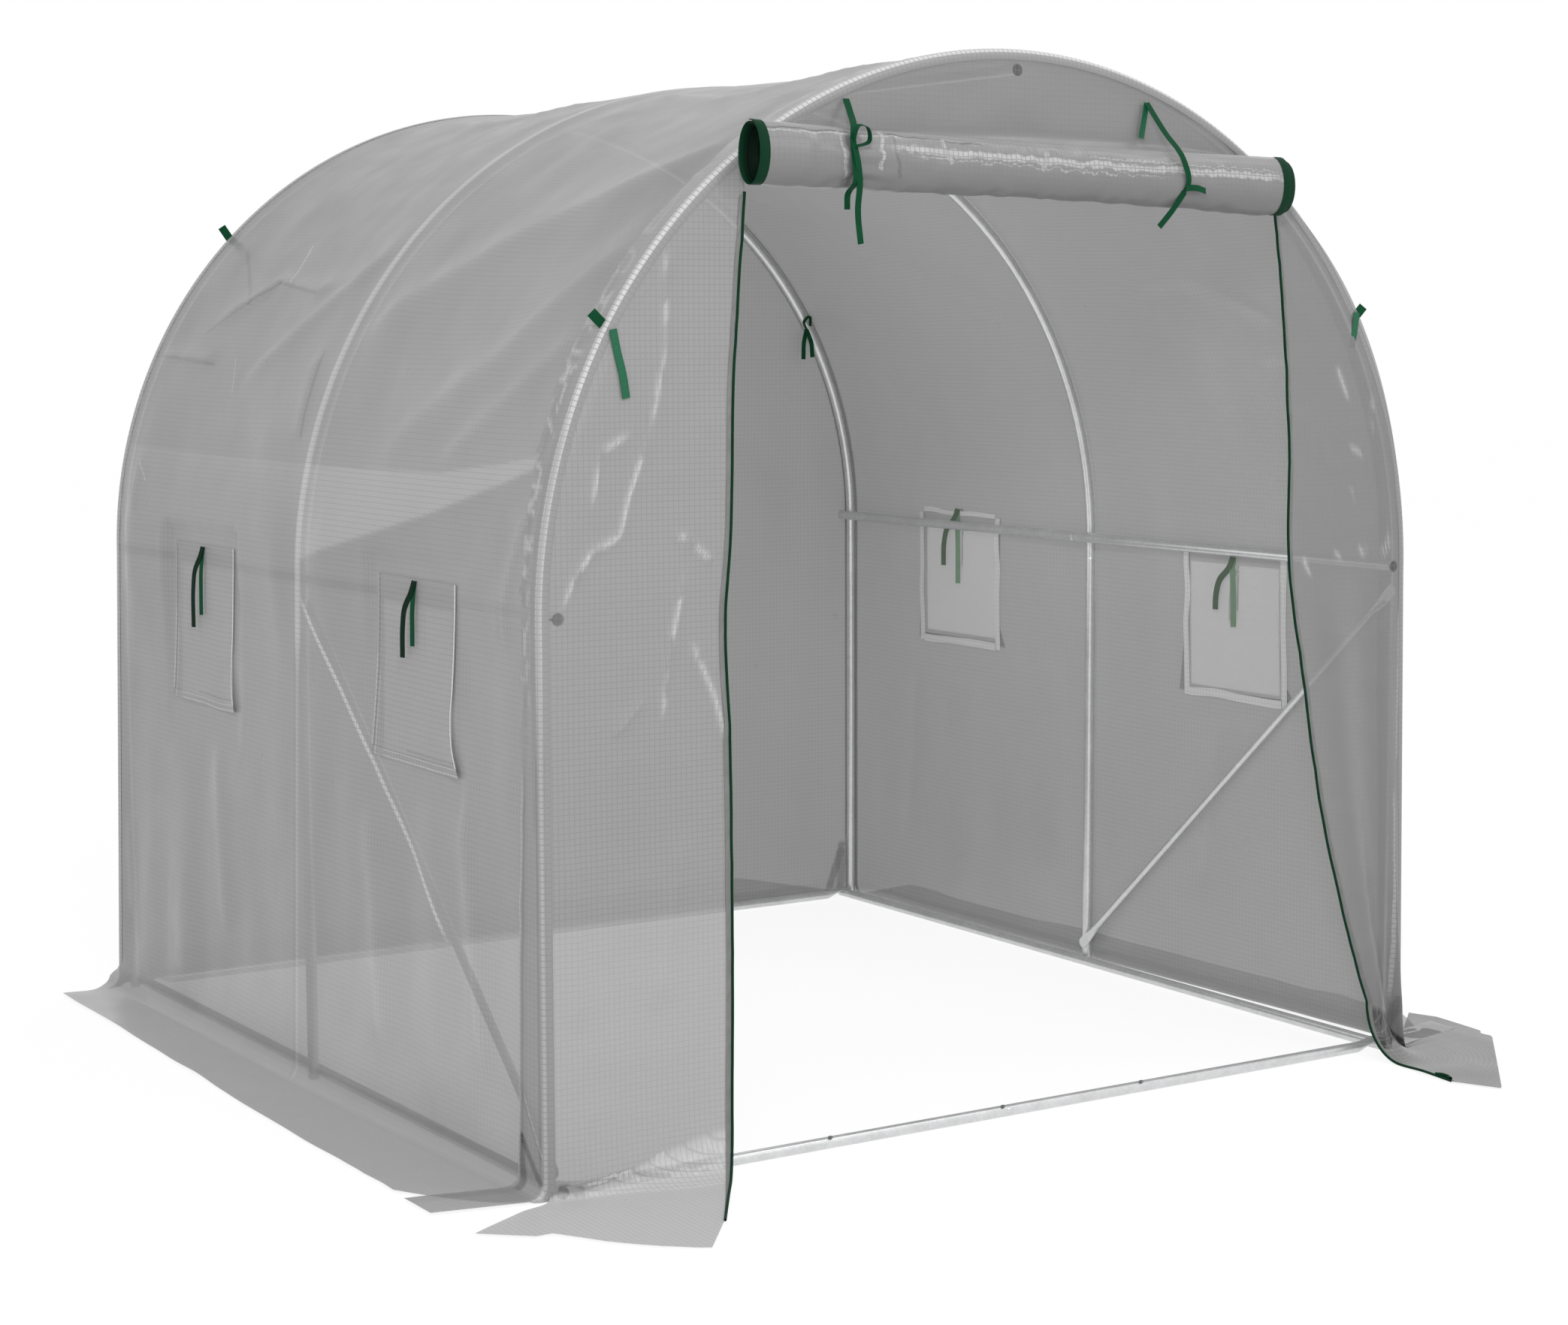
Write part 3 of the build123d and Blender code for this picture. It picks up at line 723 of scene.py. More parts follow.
def make_cover():
    """The one sheet over the hoops: both walls with their window holes, the roof and the side skirts."""
    y_lines, p_lines = cover_grid()
    y, p = np.meshgrid(y_lines, p_lines)
    points = cover_points(y, p)
    shade = cover_painted_light(y, p - ground_mark)
    middle_y = (y_lines[1:] + y_lines[:-1]) / 2
    middle_x, _, middle_z = ((points[1:] + points[:-1]) / 2).mean(1).T
    keep = np.ones((len(p_lines) - 1, len(y_lines) - 1), bool)
    for _, side, end, rise, *_ in windows:
        beside = np.abs(middle_y - end * window_y) < window_half
        tall = (middle_z > window_low.z + rise) & (middle_z < window_high.z + rise) & (side * middle_x > 0)
        keep &= ~(tall[:, None] & beside[None, :])
    weave = np.stack([y, p], -1)
    cover = lattice("cover", points, weave, cover_film_material(), shade, keep)
    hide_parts("left_wall", "right_wall", "left_roof", "right_roof", "left_skirt", "right_skirt")


# Bands where an end panel wraps round its hoop and is sewn to the cover behind it
# Painted light on the rear band; painted highlights on the front band's creases and painted shade on the film
# behind them
rear_band_painted_light = 0.35  # tone of the rear band
band_gap = 0.0022  # between the hoop's tube and the band
band_glint, band_painted_shade = 0.5, 0.16  # tones of its creases and of the film behind them


def band_film_material(name, highlight_place, marks):
    """The band's film, with a painted highlight along the hoop's outer corner and a weaker one down the legs.
    """
    left_spring, right_spring = ground_mark + spring, girth - ground_mark - spring
    bearings = [
        ((highlight_place, left_spring - 0.3), (highlight_place, right_spring + 0.3), 0.0062, 0.95),
        ((highlight_place, ground_mark - 0.1), (highlight_place, left_spring + 0.4), 0.0045, 0.38),
        ((highlight_place, right_spring - 0.4), (highlight_place, girth - ground_mark + 0.1), 0.0045, 0.38),
    ]
    return film_material(name, film_colour, film_alpha, bearings + marks)


def foot_crease_painting(behind):
    """Painted shade and highlights of the creases where the film is drawn over the brace's foot and the front
    left corner of the base rails.

    behind is the place on the flat band where it starts to run back along the cover."""
    lines = [
        ((0.06, 0.092), (-0.002, 0.008), 0.0062, -0.5, 0.004),
        ((0.057, 0.092), (0.042, -0.02), 0.0075, -0.45, 0.004),
        ((0.054, 0.165), (-0.002, 0.055), 0.0022, -0.2),
        ((0.05, 0.165), (-0.006, 0.055), 0.0022, 0.3),
        ((0.06, 0.75), (0.06, -0.03), 0.003, 0.32),
        ((0.05, 0.75), (0.052, 0.05), 0.003, -0.2, 0.002),
        ((0.003, 0.8), (0.003, 0.0), 0.0035, -0.22),
        ((0.012, 1.35), (0.012, 0.6), 0.007, -0.12, 0.004),
    ]

    def at(place):
        return behind + place[0], ground_mark + place[1]

    return [(at(start), at(end), *rest) for start, end, *rest in lines]


def make_band(name, end, ruffle_share, band_front, band_back):
    """A band round an end hoop; end is -1 at the front and 1 at the rear.

    ruffle_share is how much its sewn edge is gathered, band_front its width over the end panel and
    band_back its width along the cover."""
    end_y = hoop_ys[0] if end < 0 else hoop_ys[2]
    bend = tube + band_gap
    flap = side_skirt if end < 0 else corner
    p_lines = np.linspace(side_skirt - flap, girth - side_skirt + flap, int(girth / film_step * 1.4) + 1)
    quarter = bend * np.pi / 2
    over, round_hoop = np.linspace(-band_front, 0, 5), np.linspace(0, quarter, 8)
    along = np.linspace(quarter, quarter + band_back, 12)
    w_lines = np.concatenate([over[:-1], round_hoop[:-1], along])
    w, p = np.meshgrid(w_lines, p_lines)
    x, z, nx, nz = on_section(p)
    h = p - ground_mark
    turn = np.clip(w / bend, 0, np.pi / 2)
    behind = np.clip(w - quarter, 0, None)
    inside = np.clip(-w, 0, None)
    edge = smooth(behind / band_back)
    blotch = crumple(p, w, (0.03, 0.022), 31) ** 3
    slack = ruffle_share * np.interp(h, (0.0, 0.7, 0.95, 1.5, 1.8, 2.6), (0.1, 0.15, 1.0, 1.0, 0.5, 0.3))
    ruffle = slack * edge * (0.006 * blotch + 0.004 * soft_noise(p, w, (0.05, 0.03), 33))
    out = -bend + bend * np.sin(turn) - inside + band_gap - 0.0012 * edge + ruffle
    on_ground = -above_ground(h)
    low = smooth(on_ground / corner)
    out = np.where(on_ground > 0, out * (1 - low) + 0.004 * low + ruffle * low, out)
    wider = 1 + 0.45 * ruffle_share * smooth((0.8 - h) / 0.8) * (h < spring)
    depth = bend * np.cos(turn) - behind * wider + slack * 0.005 * soft_noise(p, w * 0, (0.05, 1), 35) * edge
    y = end_y + end * depth
    y = y - end * 0.22 * np.clip(on_ground, 0, None)
    out = out + cover_lift(np.clip(y, hoop_ys[0], hoop_ys[2]), h) * smooth(behind / 0.01) * (1 - low)
    x = x + nx * out + np.sign(x) * lean(x, y, z)
    points = np.stack([x, y, np.maximum(z + nz * out, ground_gap)], -1)
    # Painted highlights on the gathered seam's creases, painted shade on the film behind them, and painted
    # light on the rear band
    gathered = np.interp(h, (0.75, 1.0, 1.45, 1.75, 2.6), (0, 1, 1, 0.25, 0.1))
    seam = smooth((behind - 0.012) / 0.02) * smooth((band_back - behind) / 0.012)
    glint = ruffle_share * band_glint * seam * gathered * smooth((blotch - 0.45) / 0.3)
    shade_behind_seam = ruffle_share * band_painted_shade * smooth((behind - 0.03) / 0.02)
    shade_behind_seam = shade_behind_seam * np.interp(h, (0, 1.2, 1.6), (1, 0.6, 0))
    shade = glint - shade_behind_seam + (rear_band_painted_light if end > 0 else 0.0)
    material = band_film_material(name + "_film", quarter * 0.62, foot_crease_painting(quarter) if end < 0 else [])
    band = lattice(name, points, np.stack([w, p], -1), material, shade)


# End panels: straight up from the ground to the hoop, and out over the ground below
hoop_inner = hoop_half + 0.004
strip_ripple = 0.006  # of the strips on the ground
# Painted shade over the whole right front panel, and painted highlights along sharp creases of both front
# panels
right_panel_painted_shade = -0.27
left_crease_highlight, right_crease_highlight = 0.75, 0.8  # tones of sharp creases


def hoop_top(x):
    """Height at which an end panel meets its hoop."""
    return spring + np.sqrt(np.maximum(hoop_inner**2 - np.minimum(np.abs(x), hoop_inner) ** 2, 0))


def end_panel(name, nodes, edge_x, hoop_x, outer, end, lift, step, foot, tone, ground_tone, material):
    """A panel from its hoop edge (share 0) to its free edge (share 1), with its strip on the ground.

    edge_x gives the free edge's x at a height, outer the ground strip's far edge at a share, lift how far
    the film stands out at (x, z, share), and foot the radius of the turn onto the ground at a share."""
    plane_y = front_y if end < 0 else rear_y
    width = abs(edge_x(spring) - hoop_x)
    shares = np.linspace(0, 1, int(width / step) + 1)
    rise = np.linspace(0, 1, int(hoop_top(edge_x(2 * spring)) / step) + 1)
    strip = np.concatenate([np.linspace(1, 0.42, 12), np.linspace(0.38, 0.004, 22)])
    s, t = np.meshgrid(shares, rise)
    straight_x = hoop_x + (edge_x(1.75 * spring) - hoop_x) * s
    turn = foot(shares)
    z = turn + t * (hoop_top(straight_x) - turn)
    x = hoop_x + (edge_x(z) - hoop_x) * s
    near_hoop = smooth((0.07 - np.minimum(hoop_inner - np.abs(x), hoop_top(x) - z)) / 0.03)
    out = np.maximum(lift(x, z, s), -0.0004 - 0.01 * (1 - near_hoop))
    x = x + np.sign(x) * lean(x, plane_y, z) * np.abs(x / hoop_inner) ** 8
    wall = np.stack([x, plane_y + end * out, z], -1)
    s_low, g = np.meshgrid(shares, strip)
    base = np.stack([x[0], plane_y + end * out[0]], -1)
    far = np.stack(outer(shares), -1)
    reach = far - base
    long = np.linalg.norm(reach, axis=1)
    along = g * long
    turned = np.clip(1 - along / turn, 0, 1)
    low_z = turn - turn * np.sqrt(np.maximum(1 - turned**2, 0))
    ripple = strip_ripple * (0.5 + 0.5 * soft_noise(s_low * long, along, (0.11, 0.16), 41))
    low_z = ground_gap + low_z + ripple * smooth((along - turn) / 0.08)
    ground = np.concatenate([base[None] + reach[None] * g[..., None], low_z[..., None]], -1)
    points = np.concatenate([ground, wall])
    weave = np.stack([points[..., 0], np.concatenate([turn - along, z])], -1)
    shade = np.concatenate([np.full(s_low.shape, ground_tone), tone(x, z)])
    panel = lattice(name, points, weave, material, shade)
    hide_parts(*nodes)
    return panel, points


# Free edges of the front panels: x at a height
left_edge = curve_through(
    [
        (0.0, -0.634), (0.22, -0.627), (0.49, -0.624), (0.76, -0.626), (1.02, -0.633),
        (1.1, -0.625), (1.42, -0.614), (1.72, -0.591), (1.8, -0.586),
    ]
)
right_edge = curve_through(
    [
        (0.0, 0.94), (0.05, 0.925), (0.27, 0.85), (0.49, 0.783), (0.77, 0.726),
        (1.05, 0.676), (1.25, 0.674), (1.55, 0.65), (1.8, 0.612),
    ]
)

# Creases of the left front panel: places (x, z), width and height
panel_creases = [
    (
        [
            (-0.965, 1.014), (-0.942, 1.066), (-0.901, 1.121),
            (-0.846, 1.145), (-0.828, 1.211), (-0.782, 1.324),
        ],
        0.008, 0.007,
    ),
    ([(-0.782, 1.324), (-0.752, 1.469), (-0.75, 1.64)], 0.009, 0.006),
    ([(-0.9, 1.2), (-0.885, 1.29), (-0.82, 1.32)], 0.007, 0.005),
    ([(-0.719, 1.072), (-0.74, 0.98), (-0.755, 0.912), (-0.765, 0.82)], 0.008, 0.007),
    ([(-0.74, 1.14), (-0.716, 1.139), (-0.651, 1.088)], 0.007, 0.005),
    ([(-0.704, 0.957), (-0.66, 0.86), (-0.634, 0.776)], 0.012, 0.006),
    ([(-0.8, 0.86), (-0.86, 0.8)], 0.01, 0.005),
    ([(-0.95, 0.62), (-0.93, 0.28)], 0.02, 0.006),
    ([(-0.72, 0.62), (-0.78, 0.3)], 0.03, 0.006),
]

# Glints of the right front panel, as places (x, z)
right_glints = [
    [(0.735, 1.06), (0.72, 1.03), (0.738, 1.0)],
    [(0.8, 1.05), (0.825, 1.03)],
    [(0.87, 1.06), (0.885, 1.03), (0.9, 1.06)],
    [(0.8, 1.2), (0.85, 1.17), (0.87, 1.13)],
    [(0.83, 1.26), (0.88, 1.24), (0.9, 1.31)],
    [(0.88, 1.38), (0.9, 1.33)],
    [(0.93, 1.12), (0.95, 1.06), (0.93, 1.03)],
    [(0.8, 1.42), (0.83, 1.35)],
]


def left_lift(x, z, s):
    """The left front panel hangs in long waves and sharp creases, and kicks out at its foot."""
    away = smooth(s * 6) * smooth((hoop_top(x) - z) / 0.06)
    waves = 0.005 * soft_noise(x, z, (0.1, 0.7), 51) + 0.0028 * crumple(x, z, (0.06, 0.1), 53)
    folds = sum(crease(x, z, *fold) for fold in panel_creases)
    kick = 0.02 * np.exp(-z / 0.06) * (0.4 + 0.6 * s)
    return away * (waves + folds + kick)


def right_lift(x, z, s):
    """The right front panel is drawn aside into pleats towards its foot."""
    away = smooth(s * 5) * smooth((hoop_top(x) - z) / 0.06)
    gather = smooth((1.15 - z) / 1.1)
    pleats = 0.026 * gather * np.sin(2 * np.pi * (1.5 * s + 0.1 * np.sin(3 * z) + 0.1))
    waves = 0.004 * soft_noise(x, z, (0.1, 0.5), 61) + 0.004 * crumple(x, z, (0.05, 0.09), 63)
    return away * (pleats * 0.55 + waves + 0.012 * gather)


def outer_line(knots):
    """The far edge of a ground strip, straight between given knots (share along the panel, x, y)."""
    shares, xs, ys = np.array(knots).T

    def at(s):
        return np.interp(s, shares, xs), np.interp(s, shares, ys)

    return at


left_outer = outer_line(
    [
        (0, -1.19, -1.112), (0.2, -1.11, -1.18), (0.28, -1.08, -1.182), (0.45, -1.027, -1.267),
        (0.65, -0.961, -1.339), (0.86, -0.895, -1.387), (1, -0.802, -1.274),
    ]
)
right_outer = outer_line(
    [
        (0, 1.249, -0.8), (0.1, 1.27, -0.864), (0.3, 1.25, -1.013), (0.36, 1.232, -1.03),
        (0.42, 1.235, -1.06), (0.88, 0.936, -1.375), (1, 0.889, -1.281),
    ]
)


def left_panel_highlights(x, z):
    """Painted highlights along its sharp creases, in patches."""
    patches = smooth((soft_noise(x, z, (0.018, 0.03), 57) + 0.35) / 0.5)
    return left_crease_highlight * patches * sum(crease(x, z, points, 0.0042, 1.0) for points, _, _ in panel_creases[:6])


def right_panel_painted_light(x, z):
    """Painted highlights on creases near the purlin, over painted shade that makes this panel darker than the
    left one, with painted light and shade across its pleats.
    """
    patches = smooth((soft_noise(x, z, (0.018, 0.03), 67) + 0.2) / 0.5)
    glints = sum(crease(x, z, points, 0.0045, 1.0) for points in right_glints)
    across = (hoop_inner - x) / (hoop_inner - right_edge(z))
    pleats = 0.06 * np.sin(2 * np.pi * (2.2 * across + 0.15)) * smooth((1.1 - z) / 0.3)
    return right_panel_painted_shade + pleats + right_crease_highlight * patches * glints


def left_foot(s):
    """Radius of the turn onto the ground, wider towards the free edge."""
    return 0.014 + 0.07 * smooth(s * 1.1 - 0.1)


def right_foot(s):
    """The same at the right front panel."""
    return 0.02 + 0.09 * smooth(s)


def left_panel_material():
    """The left front panel's film, drawn tight over the purlin's end and creased along its foot, with painted
    shade at the purlin's end and the foot's corner and painted highlights along the foot's creases.
    """
    marks = [
        ((-0.994, purlin_z), (-0.976, purlin_z), 0.0018, -0.4),
        ((-0.98, 0.024), (-0.93, 0.012), 0.007, -0.5, 0.006),
        ((-0.955, 0.006), (-0.64, 0.012), 0.0035, 0.5, 0.014),
        ((-0.94, 0.02), (-0.63, 0.06), 0.0035, 0.6, 0.016),
        ((-0.8, 0.045), (-0.63, 0.085), 0.003, 0.5, 0.014),
        ((-0.89, 0.032), (-0.76, 0.042), 0.0025, -0.35, 0.006),
    ]
    purlin_end = ((-purlin_x, purlin_z), tube)
    return film_material("left_panel_film", film_colour, left_panel_alpha, marks, [purlin_end])


def right_panel_material():
    """The right front panel's film, over the purlin's end and the leg: painted highlights down the leg, and
    painted shade at the leg's foot and the purlin's end.
    """
    marks = [
        ((0.972, 0.56), (0.976, 0.1), 0.0035, 0.22, 0.004),
        ((0.986, 0.93), (0.984, 0.6), 0.003, 0.2, 0.004),
        ((0.992, 0.12), (0.972, 0.02), 0.008, -0.3, 0.008),
    ]
    purlin_end = ((purlin_x, purlin_z), tube)
    return film_material("right_panel_film", film_colour, right_panel_alpha, marks, [purlin_end])


panel_strip = 0.3  # length of a front panel's strip on the ground, for its flat size


def make_front_panels():
    """The panels beside the doorway, and the grids of points that the zips follow."""
    left, left_points = end_panel(
        "front_left_film", ("front_left_panel", "front_left_skirt"), left_edge, -hoop_inner, left_outer,
        -1, left_lift, 0.005, left_foot, left_panel_highlights, left_skirt_painted_light, left_panel_material(),
    )
    right, right_points = end_panel(
        "front_right_film", ("front_right_panel", "front_right_skirt"), right_edge, hoop_inner, right_outer,
        -1, right_lift, 0.006, right_foot, right_panel_painted_light, right_skirt_painted_shade, right_panel_material(),
    )
    flat = (float(hoop_half + left_edge(spring)), header_z + panel_strip)
    return left_points, right_points


header_half = 0.545  # half the width of the film over the doorway
header_turn = 0.016  # how far its lower edge turns out over the roll


def make_header():
    """The segment of film between the roll and the front hoop, in painted shade, with painted shade where the
    ridge purlin's end stands behind it.
    """
    s, t = np.meshgrid(np.linspace(-1, 1, 160), np.linspace(0, 1, 40))
    x = header_half * s
    top = hoop_top(x)
    low = np.minimum(header_z + 0.02, top - 0.004)
    z = low + (top - low) * t
    out = 0.003 * soft_noise(x, z, (0.12, 0.08), 71) * smooth(t * 4) * smooth((1 - t) * 4)
    out = out + header_turn * smooth((0.18 - t) / 0.18)
    points = np.stack([x, front_y - out, z], -1)
    material = film_material("header_film", film_colour, film_alpha, [], [((0, ridge_z), tube)])
    weave, shade = np.stack([x, z], -1), np.full(x.shape, header_painted_shade)
    header = lattice("header_film", points, weave, material, shade)
    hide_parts("front_top_panel")


# Creases of the rear wall: places (x, z), width and height
rear_creases = [
    ([(-0.9, 1.1), (-0.5, 1.3), (-0.2, 1.6)], 0.04, 0.007),
    ([(0.92, 1.05), (0.6, 1.25), (0.3, 1.7)], 0.05, 0.007),
    ([(-0.4, 0.2), (-0.35, 0.8), (-0.2, 1.2)], 0.05, 0.006),
    ([(0.35, 0.15), (0.42, 0.9)], 0.04, 0.006),
    ([(0.0, 1.2), (0.05, 1.85)], 0.03, 0.005),
]


def rear_panel_material():
    """The rear wall's film, with the painted shade of a fold beside the right leg's foot."""
    marks = [
        ((0.974, 0.15), (0.926, -0.005), 0.01, -0.8, 0.006),
        ((0.97, 0.13), (0.968, -0.01), 0.012, -0.7, 0.004),
    ]
    return film_material("rear_panel_film", film_colour, film_alpha, marks)


def rear_edge(z):
    """The rear wall's right edge, upright."""
    return np.full(np.shape(z), hoop_inner)


def rear_foot(s):
    """Radius of the rear wall's turn onto the ground, the same all along."""
    return np.full(np.shape(s), corner)


def make_rear():
    """The closed rear end, with its strip on the ground."""
    reach = cad_high.y - rear_y

    def outer(s):
        x = hoop_inner * (2 * s - 1)
        ragged = 0.012 * soft_noise(s, 0 * s, (0.06, 1), 83)
        return x * 0.87, rear_y + (reach + ragged) * np.ones_like(s)

    def lift(x, z, s):
        away = smooth(np.minimum(s, 1 - s) * 14) * smooth((hoop_top(x) - z) / 0.06)
        waves = 0.006 * soft_noise(x, z, (0.25, 0.8), 85) + 0.003 * soft_noise(x, z, (0.09, 0.2), 87)
        folds = sum(crease(x, z, *fold) for fold in rear_creases)
        return away * (waves + folds) + 0.012 * np.exp(-z / 0.06)

    def tone(x, z):
        return np.zeros(x.shape)

    rear, _ = end_panel(
        "rear_film", ("rear_wall", "rear_skirt"), rear_edge, -hoop_inner, outer,
        1, lift, film_step, rear_foot, tone, 0.0, rear_panel_material(),
    )


# Tapes and thin rods along smooth lines
def tape_strip(knots, side, width, thickness):
    """Points, faces and flat places of one closed strip of tape; side is the direction of its width."""
    line = smooth_line(knots, 0.004)
    along = unit(np.gradient(line, axis=0))
    side = np.array(side, float) * np.ones_like(line)
    side = unit(side - (side * along).sum(1, keepdims=True) * along)
    normal = np.cross(side, along)
    corners = [(-0.5, -0.5), (0.5, -0.5), (0.5, 0.5), (-0.5, 0.5)]
    points = np.stack([line + side * a * width + normal * b * thickness for a, b in corners], 1)
    count = len(line)
    caps = [(3, 2, 1, 0), tuple(4 * (count - 1) + a for a in range(4))]
    quads = np.concatenate([ring_quads(count, 4), caps])
    length = lengths(line)
    weave = np.stack([np.tile([a * width for a, _ in corners], count), np.repeat(length, 4)], -1)
    return points.reshape(-1, 3), quads, weave, length[-1]


def make_tape(name, strips, node, material=green, width=tape_width):
    """One tape of several joined lengths; each strip is its knots and the direction of its width."""
    points, quads, weave, total = [], [], [], 0.0
    for knots, side in strips:
        its_points, its_quads, its_weave, length = tape_strip(knots, side, width, tape_thickness)
        quads.append(its_quads + sum(len(earlier) for earlier in points))
        points.append(its_points)
        weave.append(its_weave)
        total += length
    points, quads, weave = (np.concatenate(parts) for parts in (points, quads, weave))
    piece = sheet_mesh(name, points, quads, weave, material)
    piece.data.polygons.foreach_set("use_smooth", np.zeros(len(piece.data.polygons), bool))
    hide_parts(node)


def rod_mesh(line, thick, sides=8):
    """Points, faces and flat places of a round rod along a line."""
    along = unit(np.gradient(line, axis=0))
    first = unit(np.cross(along, (0.31, 0.52, 0.8)))
    second = np.cross(along, first)
    angles = np.linspace(0, 2 * np.pi, sides, endpoint=False)
    cos, sin = np.cos(angles)[None, :, None], np.sin(angles)[None, :, None]
    rings = line[:, None] + thick * (cos * first[:, None] + sin * second[:, None])
    weave = np.stack([np.tile(angles * np.mean(thick), len(line)), np.repeat(lengths(line), sides)], -1)
    return rings.reshape(-1, 3), ring_quads(len(line), sides), weave


# Rolled-up door under the header
roll_left = -0.604
roll_right = 0.606
roll_y = (roll_low.y + roll_high.y) / 2
roll_z = 1.783  # of its middle, at the middle of the doorway
roll_fall = 0.027  # how much lower it hangs a metre to the right
roll_half_tall = 0.0505
roll_flare = 0.012  # how much thicker it is towards its ends
roll_pinch = 0.006  # how much thinner it is under the left tie
roll_turns = 8
roll_pitch = 0.0035  # between one turn and the next
roll_girth = 0.29  # length of the outer turn
roll_tie_x = -0.385  # where the left tie draws it in
roll_deep = (roll_high.y - roll_low.y) / 2
binding_width = 0.02
roll_slip = 0.022  # how far the inner turns have slid out to the right


def roll_centre(x):
    """Height of the roll's middle; it hangs lower to the right."""
    return roll_z - roll_fall * x


def roll_tall(x):
    """Half the roll's height, less under the left tie."""
    pinch = roll_pinch * np.exp(-(((x - roll_tie_x) / 0.035) ** 2))
    return roll_half_tall + roll_flare * np.abs(x) ** 1.5 - pinch


def roll_points(x, turn, out):
    """Places on the roll's spiral; turn counts whole turns in from the outside, out lifts off the film."""
    angle = 2 * np.pi * turn
    inward = roll_pitch * turn
    fade = 1 - 0.8 * turn / roll_turns
    round_place = (turn % 1) * roll_girth
    rough = 0.005 * crumple(x, round_place, (0.045, 0.03), 91)
    rough = rough + 0.003 * soft_noise(x, round_place, (0.3, 0.03), 93)
    rough = rough * smooth((np.minimum(x - roll_left, roll_right - x) - 0.01) / 0.05)
    seam = smooth(np.minimum(turn % 1, 1 - turn % 1) * 8)
    gathers = 0.004 * np.exp(-(((x - roll_tie_x) / 0.05) ** 2)) * np.sin(2 * np.pi * round_place / 0.03)
    off = (rough + gathers) * fade * seam - inward + out
    y = roll_y - (roll_deep + off) * np.sin(angle)
    z = roll_centre(x) + (roll_tall(x) + off) * np.cos(angle)
    slid = roll_slip * (1 - np.exp(-np.maximum(turn - 0.95, 0) / 1.2))
    return np.stack([x + slid, y, z], -1)


def roll_film_material():
    """The rolled film, with broken painted highlights along its upper front, the header's seam above them,
    and painted light and shade across folds near the ties.
    """
    roll_highlights_and_seam = [
        ((-0.36, 0.053), (0.62, 0.06), 0.006, 0.55, 0.012),
        ((-0.3, 0.066), (0.3, 0.072), 0.0015, 0.3, 0.016),
        ((0.1, 0.043), (0.6, 0.048), 0.0015, 0.3, 0.012),
        ((-0.6, 0.034), (-0.3, 0.034), 0.002, 0.35, 0.008),
        ((-0.61, 0.027), (-0.4, 0.029), 0.0016, -0.5, 0.003),
        ((-0.35, 0.028), (-0.12, 0.036), 0.0016, -0.45, 0.004),
        ((-0.44, 0.02), (-0.425, 0.12), 0.003, 0.3, 0.008),
        ((-0.425, 0.03), (-0.41, 0.14), 0.004, -0.3, 0.008),
        ((-0.345, 0.01), (-0.355, 0.1), 0.004, 0.45, 0.01),
        ((-0.33, 0.02), (-0.31, 0.11), 0.004, -0.2, 0.01),
        ((-0.22, 0.03), (-0.2, 0.075), 0.005, 0.35, 0.014),
        ((0.02, 0.035), (0.0, 0.075), 0.004, 0.3, 0.012),
    ]
    return film_material("rolled_film", film_colour, film_alpha, roll_highlights_and_seam)


def roll_painted_shade(x, turn):
    """Painted shade, darker towards the underside, and painted shade on the inner turns."""
    round_place = (turn % 1) * roll_girth
    under = np.interp(round_place, (0.02, 0.05, 0.1, 0.2), (0.0, 0.12, 0.32, 0.38))
    return np.where(turn < 1, -under, -0.9)


def make_roll():
    """The wound door film and the green binding round its two ends."""
    turns = np.linspace(0, roll_turns, 40 * roll_turns + 1)
    x, turn = np.meshgrid(np.linspace(roll_left, roll_right, 190), turns)
    points = roll_points(x, turn, 0.0)
    weave = flat_place(points)
    weave[..., 0] = x
    roll = lattice("rolled_film", points, weave, roll_film_material(), roll_painted_shade(x, turn))
    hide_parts("rolled_door")
    outer_turns, inner_turns = turns[turns <= 1.1], turns[turns >= 1.1]
    bindings = (
        ("left_binding", roll_left, 1, outer_turns, piping, 3 * binding_width),
        # the left end's inner turns take the darkest tape, painted shade in the roll's hollow
        ("left_inner_binding", roll_left, 1, inner_turns, hollow_shade_green, 3 * binding_width),
        ("right_binding", roll_right, -1, outer_turns, piping, binding_width),
        ("right_inner_binding", roll_right, -1, inner_turns, piping, binding_width),
    )
    for name, end, inner, its_turns, material, inside in bindings:
        deeper = np.arange(binding_width, inside + 0.001, 0.008)
        across = np.array([binding_width, 0.01, 0.0, -0.0008, 0.0, 0.01, *deeper])
        lift = np.array([0.0009, 0.001, 0.0009, 0.0, -0.0009, -0.001, *np.full(len(deeper), -0.0013)])
        a, turn = np.meshgrid(across, its_turns)
        off, _ = np.meshgrid(lift, its_turns)
        points = roll_points(end + inner * a, turn, off)
        strip = lattice(name, points, flat_place(points), material)


# Zips down the two sides of the doorway
zip_top = 1.735
zip_width = 0.011
zip_inset = 0.002  # of the tape from the panel's edge
zip_lift = 0.0016  # of the tape off the film
piping_radius = 0.0027


def edge_strip(points, near, far, out):
    """A strip of the panel beside its free edge, from near to far of it and lifted off the film."""
    edge = points[:, -1]
    inward = unit(points[:, -4] - edge)
    up = unit(np.gradient(edge, axis=0))
    normal = unit(np.cross(up, inward))
    normal *= np.where(normal[:, 1:2] > normal[:, 2:3], -1, 1)
    across = np.linspace(near, far, 4)
    return edge[:, None] + inward[:, None] * across[None, :, None] + normal[:, None] * out


